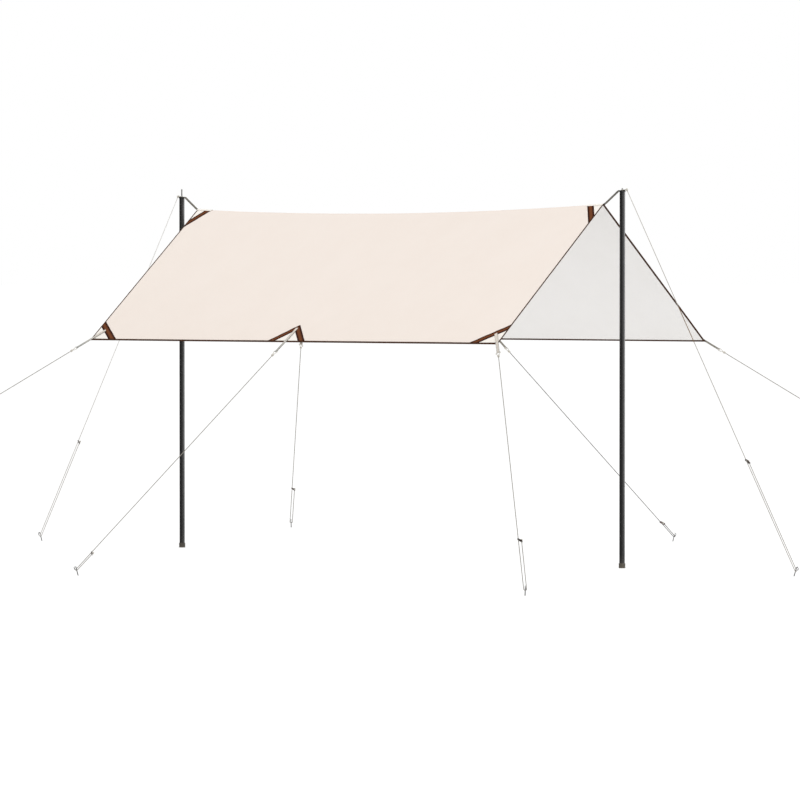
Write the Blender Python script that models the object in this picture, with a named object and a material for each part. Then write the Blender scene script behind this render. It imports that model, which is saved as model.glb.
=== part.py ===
"""A camping canopy: one rectangular sheet over a ridge, on two poles, pitched taut with eight guy lines.

Units are metres and +Z is up. The ground is z = 0 and the ridge runs along X. The origin is on the ground,
midway between the poles. "Front" is -Y, "left" is -X.

A place on the sheet is given as (x, c): x along the ridge, and c the distance across the cloth from the
ridge, negative on the front slope. w is the height above the middle of the cloth's thickness.
"""
import math

import bmesh
import bpy
from mathutils import Matrix, Vector

# The sheet, and how it is pitched
SHEET_LENGTH = 4.0
SHEET_WIDTH = 3.0
RIDGE_Z = 2.560
HEM_Z = 1.583
RIDGE_SAG = 0.048
HEM_BOW = 0.015
PANEL_SLACK = 0.012
CLOTH = 0.003
CELLS_ALONG = 20
CELLS_DOWN = 10

# Clearance between pieces that touch, and between the faceted cloth and what is sewn on it
GAP = 0.0003
SEWN_GAP = 0.0006

# Tape and webbing sewn on the sheet
TAPE = 0.001
BINDING_WIDTH = 0.016
BRACE_WIDTH = 0.050
CORNER_BRACE_ON_HEM = 0.284
CORNER_BRACE_ON_END = 0.213
HEM_BRACE_FOOT = 0.194
HEM_BRACE_APEX = 0.206
RIDGE_BRACE_FOOT = 0.222
RIDGE_BRACE_APEX = 0.152
BRACE_CELLS = 4
STRAP_WIDTH = 0.023
STRAP_PLY = 0.0012
STRAP_REACH = 0.115
STRAP_BEND_BEFORE = 0.004
STRAP_BEND_AFTER = 0.010
EYE_TAPER = 0.012
CORNER_STRAP_SEWN = 0.137
HEM_STRAP_SEWN = 0.165
RIDGE_STRAP_WIDTH = 0.028
RIDGE_STRAP_PLY = 0.0016
RIDGE_STRAP_SEWN = 0.150
RIDGE_STRAP_MARGIN = 0.002
RIDGE_STRAP_BEND_OUT = 0.020
RIDGE_STRAP_BEND_UP = 0.012

# Poles
POLE_X = 2.170
POLE_TOP = 2.656
POLE_RADIUS = 0.0195
POLE_WALL = 0.0012
POLE_SIDES = 24
CAP_HEAD = 0.010
CAP_RADIUS = 0.0225
CAP_CHAMFER = 0.0015
CAP_STEM = 0.030
PIN_RADIUS = 0.005
PIN_SOCKET = 0.020
LEFT_PIN_HEIGHT = 0.060
RIGHT_PIN_HEIGHT = 0.016
PIN_TAPER = 0.003
PIN_SIDES = 16
FOOT_RADIUS = 0.0235
FOOT_HEIGHT = 0.035
FOOT_FLOOR = 0.005
FOOT_CHAMFER = 0.002
TAB_REACH = 0.030

# Pegs, as they stand out of the ground
PEG_RADIUS = 0.0035
PEG_LEAN = math.radians(20.0)
PEG_SHAFT = 0.062
PEG_BURIED = 0.010
PEG_HOOK_RADIUS = 0.008
PEG_TIP = 0.010
PEG_LOOP_HEIGHT = 0.040
CORNER_PEG_X = 3.804
CORNER_PEG_Y = 2.933
HEM_PEG_Y = 3.22
POLE_PEG_X = 3.700

# Cord and sliders
CORD_RADIUS = 0.0025
CORD_LOOP = 0.0095
KNOT_RADIUS = 0.0085
KNOT_FROM_EYE = 0.044
EYE_BEND = 0.005
EYE_MARGIN = 0.001
STOPPER_RADIUS = 0.0075
SLIDER_ACROSS = 0.0205
SLIDER_ALONG = 0.022
SLIDER_THICK = 0.0025
SLIDER_WIDTH = 0.017
SLIDER_MARGIN = 0.0033
SLOT_HALF_LENGTH = 0.0055
SLOT_HALF_WIDTH = 0.00305
CORNER_SLIDER_PLACE = 0.80
HEM_SLIDER_PLACE = 0.924
POLE_SLIDER_PLACE = 0.716

# Worked out from the sizes above
HALF = SHEET_LENGTH / 2
SLOPE = SHEET_WIDTH / 2
HEM_Y = math.sqrt(SLOPE ** 2 - (RIDGE_Z - HEM_Z) ** 2)
HALF_CLOTH = CLOTH / 2
TAPE_BOTTOM = HALF_CLOTH + SEWN_GAP
TAPE_TOP = TAPE_BOTTOM + TAPE
STRAP_BOTTOM = TAPE_TOP + SEWN_GAP
STRAP_MIDDLE = STRAP_BOTTOM + STRAP_PLY + GAP / 2
BINDING_EDGE = BINDING_WIDTH + GAP
TWIN = CORD_RADIUS + GAP
PIN_LOOP_Z = POLE_TOP + GAP + RIDGE_STRAP_PLY + GAP + CORD_RADIUS
PIN_NECK = TAB_REACH + 0.002
UP = Vector((0.0, 0.0, 1.0))

# A line's doubled end hangs on the side of the line that is nearer to this direction
FREE_SIDE = Vector((1.0, 0.9, 0.0))


def clear_scene():
    """Remove whatever the file holds, so that only the canopy is in it."""
    for item in list(bpy.data.objects):
        bpy.data.objects.remove(item, do_unlink=True)


def finish(name, colour, roughness, metallic=0.0):
    """A plain Principled material."""
    material = bpy.data.materials.new(name)
    material.use_nodes = True
    shader = material.node_tree.nodes["Principled BSDF"]
    shader.inputs["Base Color"].default_value = (*colour, 1.0)
    shader.inputs["Roughness"].default_value = roughness
    shader.inputs["Metallic"].default_value = metallic
    return material


def link_object(name, data):
    """Put a mesh or a curve in the scene."""
    item = bpy.data.objects.new(name, data)
    bpy.context.collection.objects.link(item)
    return item


def add_object(name, mesh, material, smooth_angle=None):
    """Put a mesh in the scene as one named piece."""
    mesh.materials.append(material)
    if smooth_angle is not None:
        mesh.shade_smooth()
        mesh.set_sharp_from_angle(angle=math.radians(smooth_angle))
    return link_object(name, mesh)


def solid_mesh(name, points, faces):
    """A mesh from points and faces, with its faces turned outward."""
    bm = bmesh.new()
    verts = [bm.verts.new(point) for point in points]
    for face in faces:
        bm.faces.new([verts[index] for index in face])
    bmesh.ops.recalc_face_normals(bm, faces=bm.faces)
    mesh = bpy.data.meshes.new(name)
    bm.to_mesh(mesh)
    bm.free()
    return mesh


def loft(name, sections, ring=False):
    """Skin over closed sections of equal count; ring joins the last one to the first."""
    count = len(sections[0])
    points = [point for section in sections for point in section]
    faces = []
    spans = len(sections) if ring else len(sections) - 1
    for span in range(spans):
        here = span * count
        there = ((span + 1) % len(sections)) * count
        for k in range(count):
            after = (k + 1) % count
            faces.append((here + k, here + after, there + after, there + k))
    if not ring:
        last = (len(sections) - 1) * count
        faces.append(tuple(range(count)))
        faces.append(tuple(range(last, last + count)))
    return solid_mesh(name, points, faces)


def turned(name, profile, sides):
    """A solid of revolution about Z from (radius, z) points that start and end on the axis."""
    bm = bmesh.new()
    verts = [bm.verts.new((radius, 0.0, z)) for radius, z in profile]
    edges = [bm.edges.new(pair) for pair in zip(verts, verts[1:])]
    bmesh.ops.spin(bm, geom=verts + edges, cent=(0, 0, 0), axis=UP, angle=math.tau, steps=sides)
    bmesh.ops.remove_doubles(bm, verts=bm.verts, dist=1e-5)
    bmesh.ops.recalc_face_normals(bm, faces=bm.faces)
    mesh = bpy.data.meshes.new(name)
    bm.to_mesh(mesh)
    bm.free()
    return mesh


def tube_mesh(name, points, radius, resolution=1):
    """A round rod along a list of points, with closed ends."""
    curve = bpy.data.curves.new(name, "CURVE")
    curve.dimensions = "3D"
    curve.bevel_depth = radius
    curve.bevel_resolution = resolution
    curve.use_fill_caps = True
    spline = curve.splines.new("POLY")
    spline.points.add(len(points) - 1)
    for slot, point in zip(spline.points, points):
        slot.co = (*point, 1.0)
    guide = link_object(name + "_path", curve)
    graph = bpy.context.evaluated_depsgraph_get()
    mesh = bpy.data.meshes.new_from_object(guide.evaluated_get(graph))
    bpy.data.objects.remove(guide, do_unlink=True)
    bm = bmesh.new()
    bm.from_mesh(mesh)
    bmesh.ops.remove_doubles(bm, verts=bm.verts, dist=1e-6)
    bmesh.ops.recalc_face_normals(bm, faces=bm.faces)
    bm.to_mesh(mesh)
    bm.free()
    return mesh


def ball_object(name, centre, radius):
    """A small ball, used as a knot."""
    bm = bmesh.new()
    bmesh.ops.create_uvsphere(bm, u_segments=8, v_segments=6, radius=radius)
    bmesh.ops.translate(bm, verts=bm.verts, vec=centre)
    mesh = bpy.data.meshes.new(name)
    bm.to_mesh(mesh)
    bm.free()
    return link_object(name, mesh)


def drill_object(name, centre, half_long, half_wide, sides, depth):
    """An upright cutter of round or oval section."""
    bm = bmesh.new()
    bmesh.ops.create_cone(bm, cap_ends=True, segments=sides, radius1=1.0, radius2=1.0, depth=depth)
    bmesh.ops.scale(bm, vec=(half_long, half_wide, 1.0), verts=bm.verts)
    bmesh.ops.translate(bm, vec=centre, verts=bm.verts)
    mesh = bpy.data.meshes.new(name)
    bm.to_mesh(mesh)
    bm.free()
    return link_object(name, mesh)


def combine(piece, tool, operation):
    """Apply a Boolean of tool to piece, which keeps its material, and remove the tool."""
    material = piece.data.materials[0]
    modifier = piece.modifiers.new(operation.title(), "BOOLEAN")
    modifier.operation = operation
    modifier.solver = "EXACT"
    modifier.object = tool
    graph = bpy.context.evaluated_depsgraph_get()
    mesh = bpy.data.meshes.new_from_object(piece.evaluated_get(graph))
    mesh.materials.clear()
    mesh.materials.append(material)
    piece.modifiers.clear()
    piece.data = mesh
    bpy.data.objects.remove(tool, do_unlink=True)


def sheet_middle(x, c):
    """The point at (x, c) in the middle of the cloth's thickness."""
    t = abs(c) / SLOPE
    inside = min(t, 1.0)
    bow = 1.0 - (x / HALF) ** 2
    drop = bow * (RIDGE_SAG * (1.0 - inside) + PANEL_SLACK * 4.0 * inside * (1.0 - inside))
    reach = t * (HEM_Y + HEM_BOW * bow)
    return Vector((x, math.copysign(reach, c), RIDGE_Z - t * (RIDGE_Z - HEM_Z) - drop))


def sheet_normal(x, c):
    """The upward normal at (x, c), on the slope that c is on."""
    step = 0.005
    side = math.copysign(1.0, c)
    near = side * max(abs(c) - step, 0.0)
    far = near + side * 2 * step
    along = sheet_middle(x + step, c) - sheet_middle(x - step, c)
    down = sheet_middle(x, far) - sheet_middle(x, near)
    normal = along.cross(down).normalized()
    return normal if normal.z > 0 else -normal


def on_sheet(x, c, w):
    """The point w above the middle of the cloth at (x, c); on the ridge both slopes' offsets meet."""
    normal = sheet_normal(x, c)
    if abs(c) < 1e-9:
        return sheet_middle(x, c) + UP * (w / normal.z)
    return sheet_middle(x, c) + normal * w


def slab(name, rows, low, high):
    """A closed patch on the sheet between heights low and high, from rows of (x, c) places."""
    wide = len(rows[0])
    deep = len(rows)
    points = [on_sheet(x, c, high) for row in rows for x, c in row]
    points += [on_sheet(x, c, low) for row in rows for x, c in row]
    under = wide * deep
    faces = []
    for i in range(deep - 1):
        for j in range(wide - 1):
            a = i * wide + j
            quad = (a, a + 1, a + wide + 1, a + wide)
            faces.append(quad)
            faces.append(tuple(under + k for k in reversed(quad)))
    rim = [j for j in range(wide)]
    rim += [i * wide + wide - 1 for i in range(1, deep)]
    rim += [(deep - 1) * wide + j for j in range(wide - 2, -1, -1)]
    rim += [i * wide for i in range(deep - 2, 0, -1)]
    for a, b in zip(rim, rim[1:] + rim[:1]):
        faces.append((a, b, under + b, under + a))
    return solid_mesh(name, points, faces)


def build_panel(name, side, material):
    """One slope of the sheet, mitred at the ridge."""
    rows = []
    for j in range(CELLS_DOWN + 1):
        c = side * SLOPE * j / CELLS_DOWN
        rows.append([(-HALF + SHEET_LENGTH * i / CELLS_ALONG, c) for i in range(CELLS_ALONG + 1)])
    mesh = slab(name, rows, -HALF_CLOTH, HALF_CLOTH)
    for vert in mesh.vertices:
        if abs(vert.co.y) < GAP / 2:
            vert.co.y = side * GAP / 2
    add_object(name, mesh, material, 30)


def binding_stations():
    """Places round the sheet's edge as (x, c, outward x, outward c), corners mitred."""
    step_x = SHEET_LENGTH / CELLS_ALONG
    step_c = SLOPE / CELLS_DOWN
    stations = []
    for i in range(CELLS_ALONG):
        corner = -1.0 if i == 0 else 0.0
        stations.append((-HALF + i * step_x, -SLOPE, corner, -1.0))
    for j in range(2 * CELLS_DOWN):
        corner = -1.0 if j == 0 else 0.0
        stations.append((HALF, (j - CELLS_DOWN) * step_c, 1.0, corner))
    for i in range(CELLS_ALONG):
        corner = 1.0 if i == 0 else 0.0
        stations.append((HALF - i * step_x, SLOPE, corner, 1.0))
    for j in range(2 * CELLS_DOWN):
        corner = 1.0 if j == 0 else 0.0
        stations.append((-HALF, (CELLS_DOWN - j) * step_c, -1.0, corner))
    return stations


def build_binding(material):
    """The tape folded over the sheet's edge all the way round."""
    profile = [
        (-BINDING_WIDTH, TAPE_BOTTOM), (GAP, TAPE_BOTTOM), (GAP, -TAPE_BOTTOM), (-BINDING_WIDTH, -TAPE_BOTTOM),
        (-BINDING_WIDTH, -TAPE_TOP), (GAP + TAPE, -TAPE_TOP), (GAP + TAPE, TAPE_TOP), (-BINDING_WIDTH, TAPE_TOP),
    ]
    sections = []
    for x, c, out_x, out_c in binding_stations():
        sections.append([on_sheet(x + out_x * out, c + out_c * out, w) for out, w in profile])
    add_object("edge_binding", loft("edge_binding", sections, ring=True), material)


def band(start, end, cells):
    """Places spaced evenly from start to end."""
    return [start.lerp(end, k / cells) for k in range(cells + 1)]


def band_edges(foot, apex):
    """The far and near edges of a band that crosses from one sheet edge (foot) to another line (apex).

    Both edges are cut off at the binding. Each is returned as its two end places (p, q), with p measured
    along the first sheet edge and q inward from it.
    """
    distance = 1.0 / math.hypot(1.0 / foot, 1.0 / apex)
    near_scale = 1.0 - BRACE_WIDTH / distance
    return [(foot * scale, apex * scale) for scale in (1.0, near_scale)]


def build_corner_brace(name, end, side, material):
    """A band across one corner of the sheet, from the hem to the end edge."""
    lines = []
    for foot, apex in band_edges(CORNER_BRACE_ON_HEM, CORNER_BRACE_ON_END):
        start = Vector((foot * (1.0 - BINDING_EDGE / apex), BINDING_EDGE))
        stop = Vector((BINDING_EDGE, apex * (1.0 - BINDING_EDGE / foot)))
        lines.append(band(start, stop, BRACE_CELLS))
    rows = [[(end * (HALF - p), side * (SLOPE - q)) for p, q in line] for line in lines]
    add_object(name, slab(name, rows, TAPE_BOTTOM, TAPE_TOP), material)


def vee_lines(foot, apex_far):
    """The two edges of a V-shaped band: from one foot at the binding, over the apex, to the other."""
    lines = []
    for reach, apex in band_edges(foot, apex_far):
        start = Vector((-reach * (1.0 - BINDING_EDGE / apex), BINDING_EDGE))
        top = Vector((0.0, apex))
        stop = Vector((-start.x, start.y))
        lines.append(band(start, top, BRACE_CELLS) + band(top, stop, BRACE_CELLS)[1:])
    return lines


def build_hem_brace(name, side, material):
    """An inverted V at the middle of a hem."""
    lines = vee_lines(HEM_BRACE_FOOT, HEM_BRACE_APEX)
    rows = [[(p, side * (SLOPE - q)) for p, q in line] for line in lines]
    add_object(name, slab(name, rows, TAPE_BOTTOM, TAPE_TOP), material)


def build_ridge_brace(name, end, material):
    """A V over the end of the ridge, one leg down each slope."""
    lines = vee_lines(RIDGE_BRACE_FOOT, RIDGE_BRACE_APEX)
    rows = [[(end * (HALF - q), p) for p, q in line] for line in lines]
    add_object(name, slab(name, rows, TAPE_BOTTOM, TAPE_TOP), material)


class Tie:
    """Where one guy line leaves the tent, and where it goes.

    tent is the line's first point, and peg_foot is where its peg enters the ground. run is the line's
    direction, side the level direction across it, and through the normal of the plane they span.
    """

    def __init__(self, tent, peg_foot, slider_place):
        self.tent = tent
        self.peg_foot = peg_foot
        self.slider_place = slider_place
        self.outward = Vector((peg_foot.x - tent.x, peg_foot.y - tent.y, 0.0)).normalized()
        self.side = Vector((-self.outward.y, self.outward.x, 0.0))
        if self.side.dot(FREE_SIDE) < 0:
            self.side.negate()
        self.shaft = (self.outward * math.sin(PEG_LEAN) + UP * math.cos(PEG_LEAN)).normalized()
        self.seat = peg_foot + self.shaft * (PEG_LOOP_HEIGHT / self.shaft.z)
        self.run = (self.seat - tent).normalized()
        # The loop's place depends on the direction, and the direction on the loop: three passes settle both
        for _ in range(3):
            self.through = self.run.cross(self.side)
            shaft_reach = PEG_RADIUS / abs(self.through.dot(self.shaft))
            self.loop_centre = self.seat - self.run * (CORD_LOOP - CORD_RADIUS - GAP - shaft_reach)
            self.taut_end = self.loop_centre - self.side * CORD_LOOP
            self.run = (self.taut_end - tent).normalized()
        self.length = (self.taut_end - tent).length
        self.slider_taut = tent + self.run * (self.length * slider_place)
        self.slider_free = self.slider_taut + self.side * SLIDER_ACROSS + self.run * SLIDER_ALONG


def arc(centre, first, second, radius, start, stop, steps):
    """Points on an arc about centre, in the plane of two unit directions."""
    points = []
    for k in range(steps + 1):
        angle = math.radians(start + (stop - start) * k / steps)
        points.append(centre + first * (radius * math.cos(angle)) + second * (radius * math.sin(angle)))
    return points


def peg_end_points(tie):
    """The cord from the slider down, round the peg and back up to its free end."""
    turn = arc(tie.loop_centre, -tie.side, tie.run, CORD_LOOP, 0, 180, 8)
    free_stop = tie.slider_free - tie.run * stopper_distance()
    return [tie.slider_taut, *turn, tie.slider_free, free_stop]


def stopper_distance():
    """How far the stopper knot's middle lies from its slot, so that it just touches the slider."""
    tilt = SLIDER_ACROSS / math.hypot(SLIDER_ACROSS, SLIDER_ALONG)
    return (STOPPER_RADIUS + SLIDER_THICK / 2 + GAP) / tilt


def strap_eye_points(tie, across):
    """The cord's loop through the eye of a hem strap whose width runs along across, up to the knot."""
    straight = STRAP_WIDTH / 2 + EYE_MARGIN

    def spot(along, aside):
        """A point in the plane of the line and the strap's width."""
        return tie.tent + tie.run * along + across * aside

    outer = arc(spot(EYE_BEND, straight), -tie.run, across, EYE_BEND, 0, 110, 4)
    inner = arc(spot(EYE_BEND, -straight), -tie.run, -across, EYE_BEND, 0, 110, 4)
    start = spot(KNOT_FROM_EYE + CORD_RADIUS, TWIN)
    neck = spot(KNOT_FROM_EYE - KNOT_RADIUS, TWIN)
    neck_back = spot(KNOT_FROM_EYE - KNOT_RADIUS, -TWIN)
    knot_back = spot(KNOT_FROM_EYE, -TWIN)
    leave = spot(KNOT_FROM_EYE + 2 * KNOT_RADIUS, 0.0)
    return [start, neck, *reversed(outer), *inner, neck_back, knot_back, leave]


def build_guy(name, tie, tent_end, knot, material):
    """One guy line, end to end, with its knots."""
    mesh = tube_mesh(name, tent_end + peg_end_points(tie), CORD_RADIUS)
    guy = add_object(name, mesh, material)
    stopper = tie.slider_free - tie.run * stopper_distance()
    combine(guy, ball_object(name + "_knot", knot, KNOT_RADIUS), "UNION")
    combine(guy, ball_object(name + "_stopper", stopper, STOPPER_RADIUS), "UNION")


def build_slider(name, tie, material):
    """A flat tensioner with rounded ends and a slot for each strand of the cord."""
    spacing = math.hypot(SLIDER_ACROSS, SLIDER_ALONG)
    half = SLIDER_WIDTH / 2
    reach = spacing / 2 + SLOT_HALF_LENGTH + SLIDER_MARGIN - half
    outline = []
    for centre, start in ((reach, -90.0), (-reach, 90.0)):
        for k in range(7):
            angle = math.radians(start + 30.0 * k)
            outline.append((centre + half * math.cos(angle), half * math.sin(angle)))
    sections = [[(u, v, z) for u, v in outline] for z in (-SLIDER_THICK / 2, SLIDER_THICK / 2)]
    slider = add_object(name, loft(name, sections), material)
    for middle in (-spacing / 2, spacing / 2):
        place = (middle, 0.0, 0.0)
        drill = drill_object("slot", place, SLOT_HALF_LENGTH, SLOT_HALF_WIDTH, 12, 4 * SLIDER_THICK)
        combine(slider, drill, "DIFFERENCE")
    long_way = (tie.slider_free - tie.slider_taut).normalized()
    wide_way = tie.through
    flat_way = long_way.cross(wide_way)
    frame = Matrix((long_way, wide_way, flat_way)).transposed().to_4x4()
    frame.translation = (tie.slider_taut + tie.slider_free) / 2
    slider.data.transform(frame)


def build_peg(name, tie, material):
    """A hooked steel peg, leaning away from the tent and cut off level with the ground."""
    below = tie.peg_foot - tie.shaft * PEG_BURIED
    shoulder = tie.peg_foot + tie.shaft * PEG_SHAFT
    away = tie.side.cross(tie.shaft).normalized()
    if away.dot(tie.outward) < 0:
        away.negate()
    hook = arc(shoulder + away * PEG_HOOK_RADIUS, -away, tie.shaft, PEG_HOOK_RADIUS, 0, 180, 6)
    tip = hook[-1] - tie.shaft * PEG_TIP
    mesh = tube_mesh(name, [below, *hook, tip], PEG_RADIUS, 2)
    bm = bmesh.new()
    bm.from_mesh(mesh)
    everything = bm.verts[:] + bm.edges[:] + bm.faces[:]
    bmesh.ops.bisect_plane(bm, geom=everything, plane_co=(0, 0, 0), plane_no=UP, clear_inner=True)
    rim = [edge for edge in bm.edges if edge.is_boundary]
    bmesh.ops.contextual_create(bm, geom=rim)
    bmesh.ops.recalc_face_normals(bm, faces=bm.faces)
    bm.to_mesh(mesh)
    bm.free()
    add_object(name, mesh, material, 40)


def strap_profile():
    """The strap's eye seen from its side, as pairs of (s, n): inner then outer face of the tape.

    s runs from the sheet's edge along the pull, negative on the sheet. n is the height above the fold's
    own middle line.
    """
    faces = []
    for k in range(9):
        angle = math.radians(-120.0 + 30.0 * k)
        radii = (TWIN, TWIN + STRAP_PLY)
        faces.append([(STRAP_REACH + r * math.cos(angle), r * math.sin(angle)) for r in radii])
    return faces


def strap_frame(place, tie):
    """The directions of a hem strap's thickness and width beyond the sheet's edge."""
    normal = sheet_normal(*place)
    lift = (normal - tie.run * normal.dot(tie.run)).normalized()
    return lift, lift.cross(tie.run).normalized()


def build_hem_strap(name, place, inward, sewn, tie, material):
    """A pull strap folded round its eye, sewn down from its brace to the sheet's edge.

    place is the tie point (x, c), and inward the unit direction in (x, c) that the sewn part follows.
    """
    eye = strap_profile()
    lift, width_way = strap_frame(place, tie)
    start = on_sheet(*place, STRAP_MIDDLE)
    across = Vector((-inward.y, inward.x))
    if (sheet_middle(*(Vector(place) + across * 0.01)) - sheet_middle(*place)).dot(width_way) < 0:
        across.negate()

    def spot(s, n, edge):
        """The strap's point at (s, n) on its left (-1) or right (+1) edge."""
        half = edge * STRAP_WIDTH / 2
        if s < 0:
            here = Vector(place) - inward * s + across * half
            return on_sheet(here.x, here.y, STRAP_MIDDLE + n)
        return start + tie.run * s + lift * n + width_way * half

    steps = [-sewn * (1.0 - k / 4) for k in range(4)]
    steps += [-STRAP_BEND_BEFORE, STRAP_BEND_AFTER, STRAP_REACH - EYE_TAPER]
    slack = GAP / 2
    lower = [[(s, -slack), (s, -slack - STRAP_PLY)] for s in steps]
    upper = [[(s, slack), (s, slack + STRAP_PLY)] for s in reversed(steps)]
    sections = []
    for inner, outer in lower + eye + upper:
        corners = [(*inner, -1), (*inner, 1), (*outer, 1), (*outer, -1)]
        sections.append([spot(*corner) for corner in corners])
    add_object(name, loft(name, sections), material)


def build_ridge_strap(name, end, material):
    """The strap from the end of the ridge to the top of its pole, with a hole for the pole's pin."""
    half = RIDGE_STRAP_WIDTH / 2
    sections = []
    for k in range(4):
        x = end * (HALF - RIDGE_STRAP_SEWN * (1.0 - k / 3) - RIDGE_STRAP_MARGIN)
        bottom = [on_sheet(x, c, STRAP_BOTTOM) for c in (-half, 0.0, half)]
        top = [on_sheet(x, c, STRAP_BOTTOM + RIDGE_STRAP_PLY) for c in (half, 0.0, -half)]
        sections.append(bottom + top)
    tab_z = POLE_TOP + GAP
    leave = sheet_middle(HALF, 0.0).z + STRAP_BOTTOM
    free = [(HALF + RIDGE_STRAP_BEND_OUT, leave + RIDGE_STRAP_BEND_UP)]
    free += [(POLE_X - TAB_REACH, tab_z), (POLE_X + TAB_REACH, tab_z)]
    for x, z in free:
        bottom = [Vector((end * x, y, z)) for y in (-half, 0.0, half)]
        top = [Vector((end * x, y, z + RIDGE_STRAP_PLY)) for y in (half, 0.0, -half)]
        sections.append(bottom + top)
    strap = add_object(name, loft(name, sections), material)
    hole = PIN_RADIUS + GAP
    place = (end * POLE_X, 0.0, tab_z)
    drill = drill_object("pin_hole", place, hole, hole, PIN_SIDES, 10 * RIDGE_STRAP_PLY)
    combine(strap, drill, "DIFFERENCE")


def build_pole(label, end, pin_height, finishes):
    """One pole: tube, top plug, steel pin and foot."""
    place = Vector((end * POLE_X, 0.0, 0.0))
    outer = POLE_RADIUS
    bore = POLE_RADIUS - POLE_WALL
    tube_top = POLE_TOP - CAP_HEAD - GAP
    tube_bottom = FOOT_FLOOR + GAP
    tube = [(bore, tube_bottom), (outer, tube_bottom), (outer, tube_top), (bore, tube_top), (bore, tube_bottom)]
    stem = bore - GAP
    socket = PIN_RADIUS + GAP
    edge = CAP_CHAMFER
    cap = [
        (0.0, tube_top - CAP_STEM), (stem, tube_top - CAP_STEM), (stem, POLE_TOP - CAP_HEAD),
        (CAP_RADIUS, POLE_TOP - CAP_HEAD), (CAP_RADIUS, POLE_TOP - edge), (CAP_RADIUS - edge, POLE_TOP),
        (socket, POLE_TOP), (socket, POLE_TOP - PIN_SOCKET), (0.0, POLE_TOP - PIN_SOCKET),
    ]
    tip = POLE_TOP + pin_height
    pin = [
        (0.0, POLE_TOP - PIN_SOCKET + GAP), (PIN_RADIUS, POLE_TOP - PIN_SOCKET + GAP),
        (PIN_RADIUS, tip - PIN_TAPER), (0.6 * PIN_RADIUS, tip - 0.2 * PIN_TAPER), (0.0, tip),
    ]
    sleeve = POLE_RADIUS + GAP
    worn = FOOT_CHAMFER
    foot = [
        (0.0, 0.0), (FOOT_RADIUS - worn, 0.0), (FOOT_RADIUS, worn), (FOOT_RADIUS, FOOT_HEIGHT - worn),
        (FOOT_RADIUS - worn, FOOT_HEIGHT), (sleeve, FOOT_HEIGHT), (sleeve, FOOT_FLOOR), (0.0, FOOT_FLOOR),
    ]
    parts = (
        ("pole", tube, POLE_SIDES, finishes["pole"]),
        ("pole_cap", cap, POLE_SIDES, finishes["plastic"]),
        ("pole_pin", pin, PIN_SIDES, finishes["steel"]),
        ("pole_foot", foot, POLE_SIDES, finishes["rubber"]),
    )
    for kind, profile, sides, material in parts:
        mesh = turned(kind, profile, sides)
        mesh.transform(Matrix.Translation(place))
        add_object(f"{kind}_{label}", mesh, material, 40)


def pin_loop_points(tie, end):
    """The cord's loop round a pole's pin, ending at its knot beyond the pole's edge."""
    radius = PIN_RADIUS + GAP + CORD_RADIUS
    outward = Vector((float(end), 0.0, 0.0))
    side = tie.side
    centre = Vector((end * POLE_X, 0.0, PIN_LOOP_Z))
    ring = arc(centre, outward, side, radius, 70, 290, 8)
    start = centre + outward * (PIN_NECK + KNOT_RADIUS + CORD_RADIUS) + side * TWIN
    enter = centre + outward * PIN_NECK + side * TWIN
    back = centre + outward * PIN_NECK - side * TWIN
    knot_back = centre + outward * (PIN_NECK + KNOT_RADIUS) - side * TWIN
    return [start, enter, *ring, back, knot_back, tie.tent + tie.run * KNOT_RADIUS]


def pin_knot_centre(end):
    """Where the knot of a pole's guy line sits."""
    return Vector((end * (POLE_X + PIN_NECK + KNOT_RADIUS), 0.0, PIN_LOOP_Z))


def build_line(label, tie, tent_end, knot, finishes):
    """One guy line with its slider and peg."""
    build_guy(f"guy_{label}", tie, tent_end, knot, finishes["cord"])
    build_slider(f"slider_{label}", tie, finishes["slider"])
    build_peg(f"peg_{label}", tie, finishes["steel"])


def hem_tie(place, peg_foot, slider_place):
    """The tie whose cord starts in the eye of a hem strap."""
    edge = on_sheet(*place, STRAP_MIDDLE)
    aim = Tie(edge, peg_foot, slider_place)
    return Tie(edge + aim.run * STRAP_REACH, peg_foot, slider_place)


def sewn_direction(place, tie):
    """The unit direction in (x, c), inward from the edge, that lies in line with a guy line."""
    x, c = place
    side = math.copysign(1.0, c)
    step = 0.01
    down = (sheet_middle(x, c) - sheet_middle(x, c - side * step)).normalized()
    inward = Vector((-tie.run.x, -side * tie.run.dot(down)))
    return inward.normalized()


def build_hem_tie(label, place, peg_foot, slider_place, sewn, finishes):
    """A pull strap on the hem and its whole guy line."""
    tie = hem_tie(place, peg_foot, slider_place)
    inward = sewn_direction(place, tie)
    build_hem_strap(f"strap_{label}", place, inward, sewn, tie, finishes["strap"])
    knot = tie.tent + tie.run * KNOT_FROM_EYE
    build_line(label, tie, strap_eye_points(tie, strap_frame(place, tie)[1]), knot, finishes)


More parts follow.
